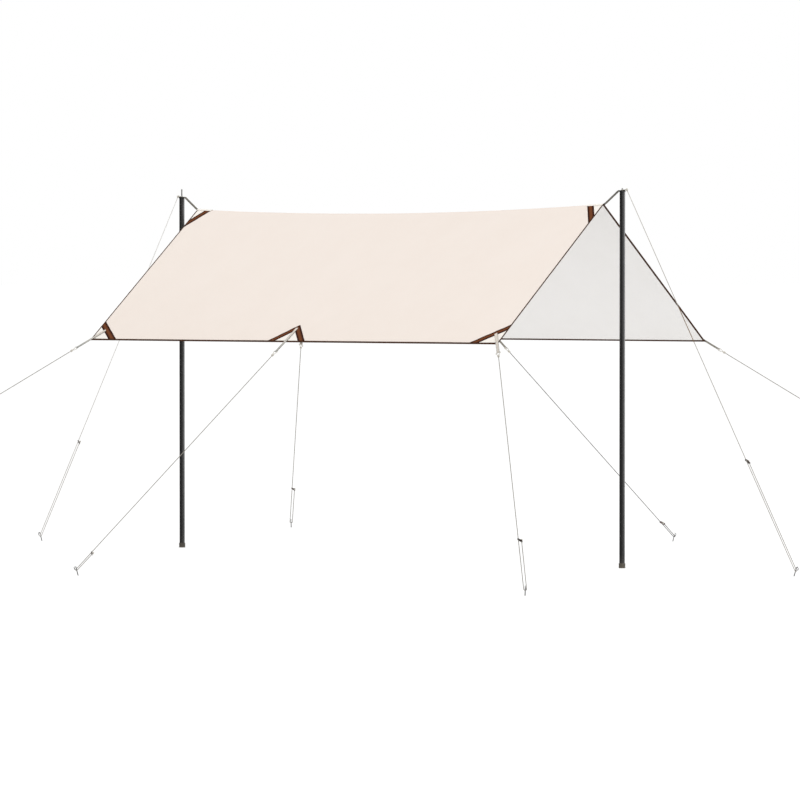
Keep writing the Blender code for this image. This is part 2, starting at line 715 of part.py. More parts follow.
def main():
    """Build the whole canopy."""
    clear_scene()
    finishes = {
        "cloth": finish("coated_cloth", (0.89, 0.81, 0.73), 0.75),
        "binding": finish("binding_tape", (0.08, 0.05, 0.035), 0.85),
        "webbing": finish("brown_webbing", (0.17, 0.05, 0.02), 0.85),
        "strap": finish("cream_webbing", (0.72, 0.66, 0.57), 0.8),
        "ridge strap": finish("grey_webbing", (0.17, 0.16, 0.135), 0.8),
        "pole": finish("black_painted_steel", (0.02, 0.02, 0.022), 0.4),
        "plastic": finish("black_plastic", (0.015, 0.015, 0.015), 0.5),
        "rubber": finish("black_rubber", (0.02, 0.02, 0.02), 0.8),
        "steel": finish("bright_steel", (0.55, 0.55, 0.56), 0.35, 1.0),
        "cord": finish("pale_cord", (0.29, 0.27, 0.24), 0.7),
        "slider": finish("grey_aluminium", (0.115, 0.085, 0.08), 0.4, 0.8),
    }
    build_panel("front_panel", -1, finishes["cloth"])
    build_panel("back_panel", 1, finishes["cloth"])
    build_binding(finishes["binding"])
    for row, side in (("front", -1), ("back", 1)):
        build_hem_brace(f"brace_{row}_middle", side, finishes["webbing"])
        foot = Vector((0.0, side * HEM_PEG_Y, 0.0))
        place = (0.0, side * SLOPE)
        build_hem_tie(f"{row}_middle", place, foot, HEM_SLIDER_PLACE, HEM_STRAP_SEWN, finishes)
        for label, end in (("left", -1), ("right", 1)):
            build_corner_brace(f"brace_{row}_{label}", end, side, finishes["webbing"])
            foot = Vector((end * CORNER_PEG_X, side * CORNER_PEG_Y, 0.0))
            place = (end * HALF, side * SLOPE)
            build_hem_tie(f"{row}_{label}", place, foot, CORNER_SLIDER_PLACE, CORNER_STRAP_SEWN, finishes)
    for label, end, pin_height in (("left", -1, LEFT_PIN_HEIGHT), ("right", 1, RIGHT_PIN_HEIGHT)):
        build_ridge_brace(f"brace_ridge_{label}", end, finishes["webbing"])
        build_ridge_strap(f"strap_ridge_{label}", end, finishes["ridge strap"])
        build_pole(label, end, pin_height, finishes)
        knot = pin_knot_centre(end)
        tie = Tie(knot, Vector((end * POLE_PEG_X, 0.0, 0.0)), POLE_SLIDER_PLACE)
        build_line(f"pole_{label}", tie, pin_loop_points(tie, end), knot, finishes)


main()
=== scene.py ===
"""Looks of a camping canopy: a coated sheet over a ridge, on two poles, pitched with eight guy lines.

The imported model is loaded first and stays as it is. Each piece here is made in the same frame, in metres,
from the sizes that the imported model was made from, and stands for the node of the same place. The ridge
runs along X, "front" is -Y and "left" is -X. A place on the sheet is (x, c): x along the ridge, and c the
distance across the cloth from the ridge, negative on the front slope.
"""

import logging
import math
from bisect import bisect_right
from contextlib import contextmanager
from dataclasses import dataclass, field
from enum import Enum
from functools import partial
from typing import Callable, ClassVar, Iterator, Sequence, Union

import bmesh
import bpy
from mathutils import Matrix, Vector
from mathutils.geometry import tessellate_polygon


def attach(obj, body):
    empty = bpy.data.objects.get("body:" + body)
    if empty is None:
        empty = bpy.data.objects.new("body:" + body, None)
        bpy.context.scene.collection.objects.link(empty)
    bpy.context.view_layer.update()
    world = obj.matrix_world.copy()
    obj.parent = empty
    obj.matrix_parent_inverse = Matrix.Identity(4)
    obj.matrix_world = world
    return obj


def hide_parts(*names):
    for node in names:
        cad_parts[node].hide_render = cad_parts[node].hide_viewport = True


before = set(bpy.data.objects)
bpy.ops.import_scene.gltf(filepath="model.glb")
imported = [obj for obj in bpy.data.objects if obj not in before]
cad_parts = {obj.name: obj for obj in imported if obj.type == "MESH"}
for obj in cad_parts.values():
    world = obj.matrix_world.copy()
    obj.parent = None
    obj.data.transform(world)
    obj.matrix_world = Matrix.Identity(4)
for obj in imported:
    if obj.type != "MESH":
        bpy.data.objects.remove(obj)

LOG = logging.getLogger("canopy")
MILLIMETRE = 0.001
GAP = 0.0003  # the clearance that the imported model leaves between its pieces
SOFT = 0.0004  # how far a cut edge is rounded
WELD = 2e-6  # points closer than this become one
ROD_SIDES = 10
ROD_TIP = ((0.6, 0.8), (0.95, 0.35))  # how far out and how wide a rod's rounded end is, in its radius
UP = Vector((0.0, 0.0, 1.0))
Place = tuple[float, float]  # two coordinates
Pair = tuple[float, float]  # two numbers of one kind
Tree = bpy.types.NodeTree
Node = bpy.types.Node
Socket = bpy.types.NodeSocket
Piece = bpy.types.Object
Source = Union[Node, Socket]


class End(Enum):
    """The two ends of the ridge, with the sign of their x."""

    LEFT = -1
    RIGHT = 1


class Slope(Enum):
    """The two slopes of the sheet, with the sign of their c and y."""

    FRONT = -1
    BACK = 1


@dataclass(frozen=True)
class Stitch:
    """How a row of stitches is sewn: its pitch, its thread's thickness, and the part that a stitch covers."""

    pitch: float  # real stitches are 3 mm long, and those that are too fine to show are drawn longer
    thread: float
    fill: float = 0.7


def linear(code: str) -> tuple[float, float, float, float]:
    """Turn an sRGB hex colour into a linear one.

    Args:
        code: Six hex digits, such as "f4e9e0".

    Returns:
        Red, green, blue and an alpha of 1, all linear.
    """
    shares = [int(code[k:k + 2], 16) / 255.0 for k in (0, 2, 4)]
    red, green, blue = (s / 12.92 if s <= 0.04045 else ((s + 0.055) / 1.055) ** 2.4 for s in shares)
    return (red, green, blue, 1.0)


def add_node(tree: Tree, kind: str, inputs: dict, **settings: object) -> Node:
    """Add one node with its settings and links.

    Args:
        tree: The node tree it goes into.
        kind: The node's type name, without the "ShaderNode" that each starts with.
        inputs: What each input gets, by its name or number: a value, an output socket to link, or a node
            whose first output is linked.
        settings: The node's own settings by name.

    Returns:
        The new node.
    """
    made = tree.nodes.new("ShaderNode" + kind)
    for name, value in settings.items():
        setattr(made, name, value)
    for key, value in inputs.items():
        if isinstance(value, Node):
            value = value.outputs[0]
        if isinstance(value, Socket):
            tree.links.new(value, made.inputs[key])
        else:
            made.inputs[key].default_value = value
    return made


def ripple(tree: Tree, distance: Source, period: float) -> Node:
    """A wave from -1 to 1 along a distance.

    Args:
        tree: The node tree it goes into.
        distance: What gives the distance in metres.
        period: The wave's length in metres.

    Returns:
        The node that gives the wave.
    """
    turns = add_node(tree, "Math", {0: distance, 1: math.tau / period}, operation="MULTIPLY")
    return add_node(tree, "Math", {0: turns}, operation="SINE")


def fineness(size_mm: float) -> float:
    """The scale of a noise whose patches are about this big."""
    return 1.0 / (size_mm * MILLIMETRE)


@dataclass(frozen=True)
class Finish:
    """One material: what it is, its colour, and how it takes the light."""

    name: str
    colour: str
    shade: str
    roughness: float
    ior: float = 1.5
    metallic: float = 0.0
    made: ClassVar[dict[str, bpy.types.Material]] = {}

    def material(self) -> bpy.types.Material:
        """Make the material, or find it again.

        Returns:
            The finished material.
        """
        if self.name not in Finish.made:
            material = bpy.data.materials.new(self.name)
            material.use_nodes = True
            shader = material.node_tree.nodes["Principled BSDF"]
            shader.inputs["Metallic"].default_value = self.metallic
            if not self.metallic:
                shader.inputs["IOR"].default_value = self.ior
            self.dress(material.node_tree, shader)
            Finish.made[self.name] = material
        return Finish.made[self.name]

    def dress(self, tree: Tree, shader: Node) -> None:
        """Give the shader its pattern. Each kind of finish does this in its own way.

        Args:
            tree: The material's node tree.
            shader: Its shader.
        """
        raise NotImplementedError(self.name)

    def tint(self, tree: Tree, share: Source) -> Socket:
        """Mix the finish's shade into its colour.

        Args:
            tree: The node tree it goes into.
            share: What gives the part of the shade, from 0 to 1.

        Returns:
            The socket of the mixed colour.
        """
        inputs = {0: share, 6: linear(self.colour), 7: linear(self.shade)}
        return add_node(tree, "Mix", inputs, data_type="RGBA").outputs[2]

    def coat(
        self,
        tree: Tree,
        shader: Node,
        colour: Socket,
        relief: tuple[Source, float],
        gloss: tuple[Source, float],
    ) -> None:
        """Give the shader its colour, its relief and its uneven gloss.

        Args:
            tree: The node tree they go into.
            shader: The shader that gets them.
            colour: The socket of the mixed colour.
            relief: What gives the height, about 0 to 1, and how deep the relief is in millimetres.
            gloss: What varies the roughness, from 0 to 1, and how far that goes to each side.
        """
        height, depth_mm = relief
        bump = add_node(tree, "Bump", {"Height": height, "Strength": 1.0, "Distance": depth_mm * MILLIMETRE})
        uneven, spread = gloss
        low, high = self.roughness - spread, self.roughness + spread
        rough = add_node(tree, "MapRange", {0: uneven, 3: low, 4: high})
        tree.links.new(colour, shader.inputs["Base Color"])
        tree.links.new(bump.outputs[0], shader.inputs["Normal"])
        tree.links.new(rough.outputs[0], shader.inputs["Roughness"])


@dataclass(frozen=True)
class CoatedPolyester(Finish):
    """Plain-woven polyester with a polyurethane coat. The coat fills the weave, so it has an even gloss."""

    thread_mm: float = 1.6  # real threads lie 0.3 mm apart, too fine to show
    cloud_mm: float = 455.0
    stain_mm: float = 111.0
    speck_mm: float = 6.25
    cloud_range: Pair = (0.3, 0.7)
    clouding: float = 0.28  # the parts of the shade that clouding, grime and threads bring
    grime_and_strap_shade: float = 0.22
    threads: float = 0.05
    specks: float = 0.5  # how high specks stand against the threads
    grime_from: float = 1.15  # metres from the ridge, and on to the hem
    hem: float = 1.5

    def dress(self, tree: Tree, shader: Node) -> None:
        """Weave, faint clouding of the coat, and a little grime towards the hems."""
        surface = add_node(tree, "TexCoord", {}).outputs["UV"]
        along, across, _ = add_node(tree, "SeparateXYZ", {0: surface}).outputs
        warp, weft = (ripple(tree, way, self.thread_mm * MILLIMETRE) for way in (along, across))
        weave = add_node(tree, "Math", {0: warp, 1: weft}, operation="MULTIPLY")
        cloud, speck, stain = (
            add_node(tree, "TexNoise", {"Vector": surface, "Scale": fineness(size), "Detail": detail})
            for size, detail in ((self.cloud_mm, 4.0), (self.speck_mm, 2.0), (self.stain_mm, 5.0))
        )
        cloud.inputs["Roughness"].default_value = 0.6
        down = add_node(tree, "Math", {0: across}, operation="ABSOLUTE")
        low = add_node(tree, "MapRange", {0: down, 1: self.grime_from, 2: self.hem, 3: 0.0, 4: self.grime_and_strap_shade})
        grime_and_strap_shade = add_node(tree, "Math", {0: low, 1: stain}, operation="MULTIPLY")
        from_cloud, to_cloud = self.cloud_range
        faint = add_node(tree, "MapRange", {0: cloud, 1: from_cloud, 2: to_cloud, 3: 0.0, 4: self.clouding})
        shaded = add_node(tree, "Math", {0: faint, 1: grime_and_strap_shade}, operation="ADD")
        thread = add_node(tree, "Math", {0: weave, 1: self.threads, 2: shaded}, operation="MULTIPLY_ADD")
        fine = add_node(tree, "Math", {0: speck, 1: self.specks, 2: weave}, operation="MULTIPLY_ADD")
        self.coat(tree, shader, self.tint(tree, thread), (fine, 0.05), (cloud, 0.08))


@dataclass(frozen=True)
class WovenWebbing(Finish):
    """Flat-woven polyester webbing. Its ribs run lengthwise, and its edges turn over into a darker cord,
    darkened further by painted shade of the rounded edges.
    """

    rib_mm: float = 2.4
    pick_mm: float = 2.8  # real picks lie 1.2 mm apart, too fine to show
    width_mm: float = 50.0
    dark_edge_mm: float = 3.0
    turned: float = 0.75  # the part of the selvedge over which it darkens
    dye_mm: Pair = (25.0, 2.0)  # the length and width of a patch of darker yarn
    uneven_dye: float = 0.35  # the part of the shade that those patches bring, and what the ribs take
    rib_light: float = 0.14
    eye_shade_mm: float = 0.0  # how far from the eye the painted shade of the free end reaches
    eye_shade: float = 1.0  # the part of the shade that this painted shade brings at the eye

    def dress(self, tree: Tree, shader: Node) -> None:
        """Ribs crossed by picks, dark edges that are partly painted shade, threads of slightly uneven dye,
        and painted shade that greys it towards the eye.
        """
        surface = add_node(tree, "TexCoord", {}).outputs["UV"]
        along, across, _ = add_node(tree, "SeparateXYZ", {0: surface}).outputs
        rib = ripple(tree, across, self.rib_mm * MILLIMETRE)
        pick = ripple(tree, along, self.pick_mm * MILLIMETRE)
        cross = add_node(tree, "Math", {0: rib, 1: pick}, operation="MULTIPLY")
        inner = (self.width_mm / 2 - self.dark_edge_mm) * MILLIMETRE
        outer = inner + self.turned * self.dark_edge_mm * MILLIMETRE
        aside = add_node(tree, "Math", {0: across}, operation="ABSOLUTE")
        # Darker towards both edges: partly the darker yarn of the selvedge, partly painted shade of the edge
        # turning away.
        darker = add_node(tree, "MapRange", {0: aside, 1: inner, 2: outer, 3: 0.0, 4: 1.0})
        yarn = tuple(fineness(size) for size in self.dye_mm)
        stretched = add_node(tree, "Mapping", {0: surface, 3: (*yarn, 1.0)})
        dye = add_node(tree, "TexNoise", {"Vector": stretched, "Scale": 1.0, "Detail": 3.0})
        # Painted shade: the strap greys towards its eye, standing in for the shade on its free end beyond the
        # cloth.
        if self.eye_shade_mm:
            inputs = {0: along, 1: 0.0, 2: self.eye_shade_mm * MILLIMETRE, 3: self.eye_shade, 4: 0.0}
            grime_and_strap_shade = add_node(tree, "MapRange", inputs)
            darker = add_node(tree, "Math", {0: darker, 1: grime_and_strap_shade}, operation="ADD")
        uneven = add_node(tree, "Math", {0: dye, 1: self.uneven_dye, 2: darker}, operation="MULTIPLY_ADD")
        inputs = {0: cross, 1: -self.rib_light, 2: uneven}
        share = add_node(tree, "Math", inputs, operation="MULTIPLY_ADD", use_clamp=True)
        self.coat(tree, shader, self.tint(tree, share), (cross, 0.25), (dye, 0.06))
        shader.inputs["Specular IOR Level"].default_value = 0.12  # the fibres shade each other's gloss


@dataclass(frozen=True)
class BraidedCord(Finish):
    """Braided polyester cord. Its strands cross in small lozenges, with a dull, slightly hairy surface."""

    strand_mm: float = 3.2  # real strands cross every 1.5 mm, too fine to show
    strands_round: int = 4
    dirt_mm: float = 71.4
    bleached_mm: float = 0.0  # how far from the tent the sun has bleached it
    faded: Pair = (-0.25, 0.4)  # what that takes from the shade at the tent, and adds past the bleached part
    strand_light: float = 0.3  # what the strands take from the shade
    gripped_mm: float = 0.0  # where the stretch that hands grip has its middle, and how far it goes on
    grip_reach_mm: float = 145.0
    grip_colour: str = "6e4c14"

    def dress(self, tree: Tree, shader: Node) -> None:
        """Strands wound opposite ways and darker where they cross, bleached by the sun, tanned by hands."""
        surface = add_node(tree, "TexCoord", {}).outputs["UV"]
        along, around, _ = add_node(tree, "SeparateXYZ", {0: surface}).outputs
        pitch = self.strand_mm * MILLIMETRE
        waves = []
        for hand in (1.0, -1.0):
            inputs = {0: around, 1: hand * pitch * self.strands_round, 2: along}
            wound = add_node(tree, "Math", inputs, operation="MULTIPLY_ADD")
            waves.append(ripple(tree, wound, 2 * pitch))
        braid = add_node(tree, "Math", dict(enumerate(waves)), operation="MULTIPLY")
        dirt = add_node(tree, "TexNoise", {"Vector": surface, "Scale": fineness(self.dirt_mm), "Detail": 4.0})
        soiled = dirt
        if self.bleached_mm:
            inputs = {0: along, 1: 0.0, 2: self.bleached_mm * MILLIMETRE, 3: self.faded[0], 4: self.faded[1]}
            fading = add_node(tree, "MapRange", inputs)
            soiled = add_node(tree, "Math", {0: dirt, 1: fading}, operation="ADD")
        inputs = {0: braid, 1: -self.strand_light, 2: soiled}
        share = add_node(tree, "Math", inputs, operation="MULTIPLY_ADD", use_clamp=True)
        colour = self.tint(tree, share)
        if self.gripped_mm:
            inputs = {0: along, 1: self.gripped_mm * MILLIMETRE, 2: self.grip_reach_mm * MILLIMETRE}
            gripped = add_node(tree, "Math", inputs, operation="COMPARE")
            inputs = {0: gripped, 6: colour, 7: linear(self.grip_colour)}
            colour = add_node(tree, "Mix", inputs, data_type="RGBA").outputs[2]
        self.coat(tree, shader, colour, (braid, 0.3), (dirt, 0.06))


@dataclass(frozen=True)
class SewingThread(Finish):
    """Twisted polyester thread. It stands a little proud and shines faintly along its twist."""

    twist_mm: float = 1.11

    def dress(self, tree: Tree, shader: Node) -> None:
        """A fine uneven twist."""
        place = add_node(tree, "TexCoord", {}).outputs["Object"]
        twist = add_node(tree, "TexNoise", {"Vector": place, "Scale": fineness(self.twist_mm), "Detail": 2.0})
        self.coat(tree, shader, self.tint(tree, twist), (twist, 0.1), (twist, 0.05))


@dataclass(frozen=True)
class SprayedCoat(Finish):
    """A hard coat or moulded skin. A fine orange-peel grain breaks up its gloss, and dust greys its foot."""

    grain_mm: float = 0.8
    grain_depth_mm: float = 0.03
    rubbed_mm: float = 83.3
    rubbed_spread: float = 0.1
    dust_top: float = 0.10  # metres above the ground that splashed dust reaches
    dust: Pair = (0.7, 0.06)  # the part of the shade that dust brings at the ground, and above its top

    def dress(self, tree: Tree, shader: Node) -> None:
        """Grain, cloudy rub marks, and dust near the ground."""
        place = add_node(tree, "TexCoord", {}).outputs["Object"]
        height = add_node(tree, "SeparateXYZ", {0: place}).outputs[2]
        grain = add_node(tree, "TexNoise", {"Vector": place, "Scale": fineness(self.grain_mm), "Detail": 2.0})
        inputs = {"Vector": place, "Scale": fineness(self.rubbed_mm), "Detail": 5.0, "Roughness": 0.7}
        rubbed = add_node(tree, "TexNoise", inputs)
        near, far = self.dust
        low = add_node(tree, "MapRange", {0: height, 1: 0.0, 2: self.dust_top, 3: near, 4: far})
        dust = add_node(tree, "Math", {0: low, 1: rubbed}, operation="MULTIPLY")
        relief = (grain, self.grain_depth_mm)
        self.coat(tree, shader, self.tint(tree, dust), relief, (rubbed, self.rubbed_spread))


@dataclass(frozen=True)
class DrawnSteel(Finish):
    """Drawn steel rod with a bright zinc plating. Fine lines run along it, and earth stains its lower end."""

    line_mm: float = 0.833  # real drawing lines are finer than 0.1 mm, too fine to show
    line_stretch: float = 50.0
    cloud_mm: float = 11.1
    soil_top: float = 0.03  # metres above the ground that the earth stain reaches
    soil: Pair = (1.0, 0.25)  # the part of the shade that it brings at the ground, and above its top

    def dress(self, tree: Tree, shader: Node) -> None:
        """Drawing lines, cloudy plating, and the stain."""
        place = add_node(tree, "TexCoord", {}).outputs["Object"]
        height = add_node(tree, "SeparateXYZ", {0: place}).outputs[2]
        lines = add_node(tree, "Mapping", {0: place, 3: (1.0, 1.0, 1.0 / self.line_stretch)})
        drawn = add_node(tree, "TexNoise", {"Vector": lines, "Scale": fineness(self.line_mm), "Detail": 3.0})
        cloud = add_node(tree, "TexNoise", {"Vector": place, "Scale": fineness(self.cloud_mm), "Detail": 4.0})
        near, far = self.soil
        low = add_node(tree, "MapRange", {0: height, 1: 0.0, 2: self.soil_top, 3: near, 4: far})
        share = add_node(tree, "Math", {0: low, 1: cloud}, operation="MULTIPLY")
        self.coat(tree, shader, self.tint(tree, share), (drawn, 0.02), (cloud, 0.1))


@dataclass(frozen=True)
class AnodisedAluminium(Finish):
    """Rolled and dyed aluminium. The dye is deep and even, with bright metal where the cord has rubbed it."""

    grain_mm: float = 1.43
    spot_mm: float = 6.25
    spots: Pair = (0.6, 0.75)  # where in the pattern a rubbed spot starts and is full
    rubbed: float = 0.6

    def dress(self, tree: Tree, shader: Node) -> None:
        """Rolling grain, and rubbed spots."""
        place = add_node(tree, "TexCoord", {}).outputs["Object"]
        grain = add_node(tree, "TexNoise", {"Vector": place, "Scale": fineness(self.grain_mm), "Detail": 2.0})
        spots = add_node(tree, "TexNoise", {"Vector": place, "Scale": fineness(self.spot_mm), "Detail": 4.0})
        start, full = self.spots
        worn = add_node(tree, "MapRange", {0: spots, 1: start, 2: full, 3: 0.0, 4: self.rubbed})
        self.coat(tree, shader, self.tint(tree, worn), (grain, 0.02), (grain, 0.08))


@dataclass(frozen=True)
class OpalAcrylic(Finish):
    """Opal acrylic sheet lit from below. It glows almost as white as the sky, so shadows on it stay pale."""

    cloud_mm: float = 2500.0
    glow: float = 0.86
    gloss_share: float = 0.15

    def dress(self, tree: Tree, shader: Node) -> None:
        """A faint clouding, and a glow that glossy paint sees dimmed, as if flagged off from it."""
        place = add_node(tree, "TexCoord", {}).outputs["Object"]
        cloud = add_node(tree, "TexNoise", {"Vector": place, "Scale": fineness(self.cloud_mm), "Detail": 2.0})
        tree.links.new(self.tint(tree, cloud), shader.inputs["Base Color"])
        shader.inputs["Roughness"].default_value = self.roughness
        shader.inputs["Emission Color"].default_value = linear("ffffff")
        gloss = add_node(tree, "LightPath", {}).outputs["Is Glossy Ray"]
        dimmed = add_node(tree, "Mix", {0: gloss, 2: self.glow, 3: self.glow * self.gloss_share})
        tree.links.new(dimmed.outputs[0], shader.inputs["Emission Strength"])


# The coat fills the weave: an even beige with a soft gloss, whose threads show only from close by.
CLOTH_OUTSIDE = CoatedPolyester("Coated polyester, beige outside", "f6ebe2", "eee1d6", 0.62, 1.50)
# The inner coat is smoother and has no dye: a cool pale grey, evened out by light from the ground.
CLOTH_INSIDE = CoatedPolyester("Coated polyester, pale grey inside", "f0eeec", "e7e4e0", 0.55, 1.50)
# Two layers let less light through: the cloth looks whiter and denser inside the braces.
CLOTH_DOUBLED = CoatedPolyester("Coated polyester, doubled at the ties", "fdf8f1", "f4ebe0", 0.62, 1.50)
# A fine-ribbed tape folded double: a dark matt line that closes the sheet's edge.
BINDING_TAPE = WovenWebbing("Woven edge tape", "482c1a", "362012", 0.78, 1.57, rib_mm=1.6, width_mm=200.0)
# Ribs and turned edges: warm brown in the middle, darkening across the band to nearly black along both sides,
# partly darker yarn at the edges and partly painted shade that rounds the band; no gloss.
BROWN_WEBBING = WovenWebbing("Woven brown webbing", "7d4724", "330b02", 0.75, 1.57, dark_edge_mm=20.0)
# Undyed ribs catch the light: a warm cream with only a little painted shade greying it towards the eye.
CREAM_WEBBING = WovenWebbing(
    "Woven cream webbing", "ece1d5", "a9a9a4", 0.75, 1.57, width_mm=23.0, eye_shade_mm=230.0, eye_shade=0.35
)
# The same webbing with more painted shade: neutral grey towards the eye, for free ends that are seen in
# shade.
EYE_SHADE_WEBBING = WovenWebbing(
    "Woven cream webbing, greyed by handling", "ece1d5", "a9a9a4", 0.75, 1.57, width_mm=23.0, eye_shade_mm=230.0
)
# The underside: a flat grey without the cream's warmth, painted shade for the side that faces away from the
# light.
UNDERSIDE_SHADE_WEBBING = WovenWebbing(
    "Woven cream webbing, greyed underneath", "948f85", "7f7a71", 0.78, 1.57, width_mm=23.0
)
# Dyed in the yarn: a plain matt grey that looks darker than the cloth beside it.
GREY_WEBBING = WovenWebbing("Woven grey webbing", "7b776e", "544f47", 0.75, 1.57, width_mm=28.0)
# Crossing strands break up the light: a dull grey line whose speckle shows only from close by.
CORD = BraidedCord("Braided polyester cord", "969189", "7a756c", 0.72, 1.57)
# The pole lines get the most sun: paler than the rest, and tan where hands have gripped them.
BLEACHED_CORD = BraidedCord(
    "Braided polyester cord, bleached by the sun", "cfcac2", "98938b", 0.72, 1.57,
    bleached_mm=1200.0, gripped_mm=1200.0,
)
# The left one has had more of it: nearly white at the pin, and light grey again further down.
WHITENED_CORD = BraidedCord(
    "Braided polyester cord, bleached white", "fbf9f5", "a8a39b", 0.72, 1.57,
    bleached_mm=2600.0, gripped_mm=1200.0,
)
# The back hem line lies in the tent's own shade: painted shade makes it darker than the other lines.
SHADED_CORD = BraidedCord("Braided polyester cord, soiled by damp", "55514b", "3d3934", 0.75, 1.57)
# Knots and loops are painted paler than the taut cord: painted light against the shade that their own turns
# cast.
LIGHTENED_KNOT_CORD = BraidedCord("Braided polyester cord, opened up in a knot", "dcd8cf", "bfbab0", 0.78, 1.57)
# Round, twisted and slightly proud: each stitch is a small bright dash on the cloth.
PALE_THREAD = SewingThread("Twisted thread, beige", "f0e3d6", "d9c7b6", 0.6, 1.57)
# The same thread, dyed: its stitches show on the webbing by their relief more than by colour.
BROWN_THREAD = SewingThread("Twisted thread, brown", "5a3622", "3a2012", 0.6, 1.57)
# Powder melts into a smooth hard skin: a deep black with long clear highlights down the pole.
POLE_PAINT = SprayedCoat(
    "Powder-coated steel, satin black", "0b0b0d", "5a5650", 0.26, 1.50, rubbed_spread=0.06
)
# Moulded without polish: a duller black than the pole's, with softer highlights.
CAP_PLASTIC = SprayedCoat("Moulded nylon, black", "141415", "4a4a4a", 0.5, 1.53, grain_mm=1.2)
# Rough from its mould, and dusty: a dark grey without highlights.
FOOT_RUBBER = SprayedCoat(
    "Moulded rubber, black", "1d1c1b", "8a8070", 0.8, 1.52, grain_mm=1.5, grain_depth_mm=0.08
)
# Zinc over drawn steel: bright metal streaked along the rod, and brown where it meets the earth.
BRIGHT_STEEL = DrawnSteel("Drawn zinc-plated steel", "b9babb", "8b8175", 0.32, metallic=1.0)
# Turned and oiled: a darker and softer shine than the pegs have.
PIN_STEEL = DrawnSteel("Turned steel, oiled", "7f7f7d", "5a554e", 0.4, metallic=1.0)
# The dye tints the metal and leaves its shine: warm dark grey with bright rubbed spots.
SLIDER_METAL = AnodisedAluminium("Anodised aluminium, warm grey", "5f5250", "bdb4af", 0.36, metallic=1.0)
# An even white floor that hides its own edge and keeps only the faintest shadows.
FLOOR_PANEL = OpalAcrylic("Opal acrylic, lit from below", "767676", "707070", 0.9, 1.49)


def link(name: str, data: bpy.types.ID) -> Piece:
    """Put an object with this mesh, lamp or camera into the scene.

    Args:
        name: The object's name.
        data: What it shows.

    Returns:
        The new object.
    """
    made = bpy.data.objects.new(name, data)
    bpy.context.scene.collection.objects.link(made)
    return made


@contextmanager
def edited(mesh: bpy.types.Mesh) -> Iterator[bmesh.types.BMesh]:
    """Open a mesh to edit it, and write it back with its faces turned outward.

    Args:
        mesh: The mesh.

    Yields:
        The mesh in its editable form.
    """
    bm = bmesh.new()
    bm.from_mesh(mesh)
    yield bm
    bmesh.ops.recalc_face_normals(bm, faces=bm.faces)
    bm.to_mesh(mesh)
    bm.free()


def lengths_round(profile: Sequence[Place]) -> list[float]:
    """Measure how far round a closed profile its points lie.

    Args:
        profile: The profile's points in order.

    Returns:
        The distance of each point, and of the first one again after the last.
    """
    lengths = [0.0]
    for before, after in zip(profile, [*profile[1:], profile[0]]):
        lengths.append(lengths[-1] + math.dist(before, after))
    return lengths


def between(start: Place, stop: Place, count: int) -> list[Place]:
    """Evenly spaced places from one to another, both included."""
    (x, c), (to_x, to_c) = start, stop
    return [(x + (to_x - x) * (k / count), c + (to_c - c) * (k / count)) for k in range(count + 1)]


def arc(
    centre: Vector, first: Vector, second: Vector, radius: float, start: float, stop: float, steps: int
) -> list[Vector]:
    """Points on an arc in the plane of two directions.

    Args:
        centre: The arc's centre.
        first: The direction at 0 degrees.
        second: The direction at 90 degrees.
        radius: Its radius.
        start: The angle that it starts at, in degrees.
        stop: The angle that it ends at, in degrees.
        steps: How many steps it takes.

    Returns:
        One point more than the steps.
    """
    points = []
    for k in range(steps + 1):
        angle = math.radians(start + (stop - start) * k / steps)
        points.append(centre + first * (radius * math.cos(angle)) + second * (radius * math.sin(angle)))
    return points


class Track:
    """A line of points on a surface, with the way out of the surface at each, that can be read by length."""

    def __init__(self, points: Sequence[Vector], outward: Sequence[Vector]) -> None:
        """Keep the points and add up their distances.

        Args:
            points: The points in order.
            outward: The way out of the surface at each.
        """
        self.points = list(points)
        self.outward = list(outward)
        self.reached = [0.0]
        for before, after in zip(self.points, self.points[1:]):
            self.reached.append(self.reached[-1] + (after - before).length)

    def at(self, distance: float) -> tuple[Vector, Vector, Vector]:
        """Read the line at a distance from its start.

        Args:
            distance: How far along it, in metres.

        Returns:
            The point there, the line's direction, and the way out of the surface.
        """
        k = min(max(bisect_right(self.reached, distance) - 1, 0), len(self.points) - 2)
        span = self.reached[k + 1] - self.reached[k]
        share = (distance - self.reached[k]) / span if span else 0.0
        point = self.points[k].lerp(self.points[k + 1], share)
        direction = (self.points[k + 1] - self.points[k]).normalized()
        return point, direction, self.outward[k].lerp(self.outward[k + 1], share).normalized()


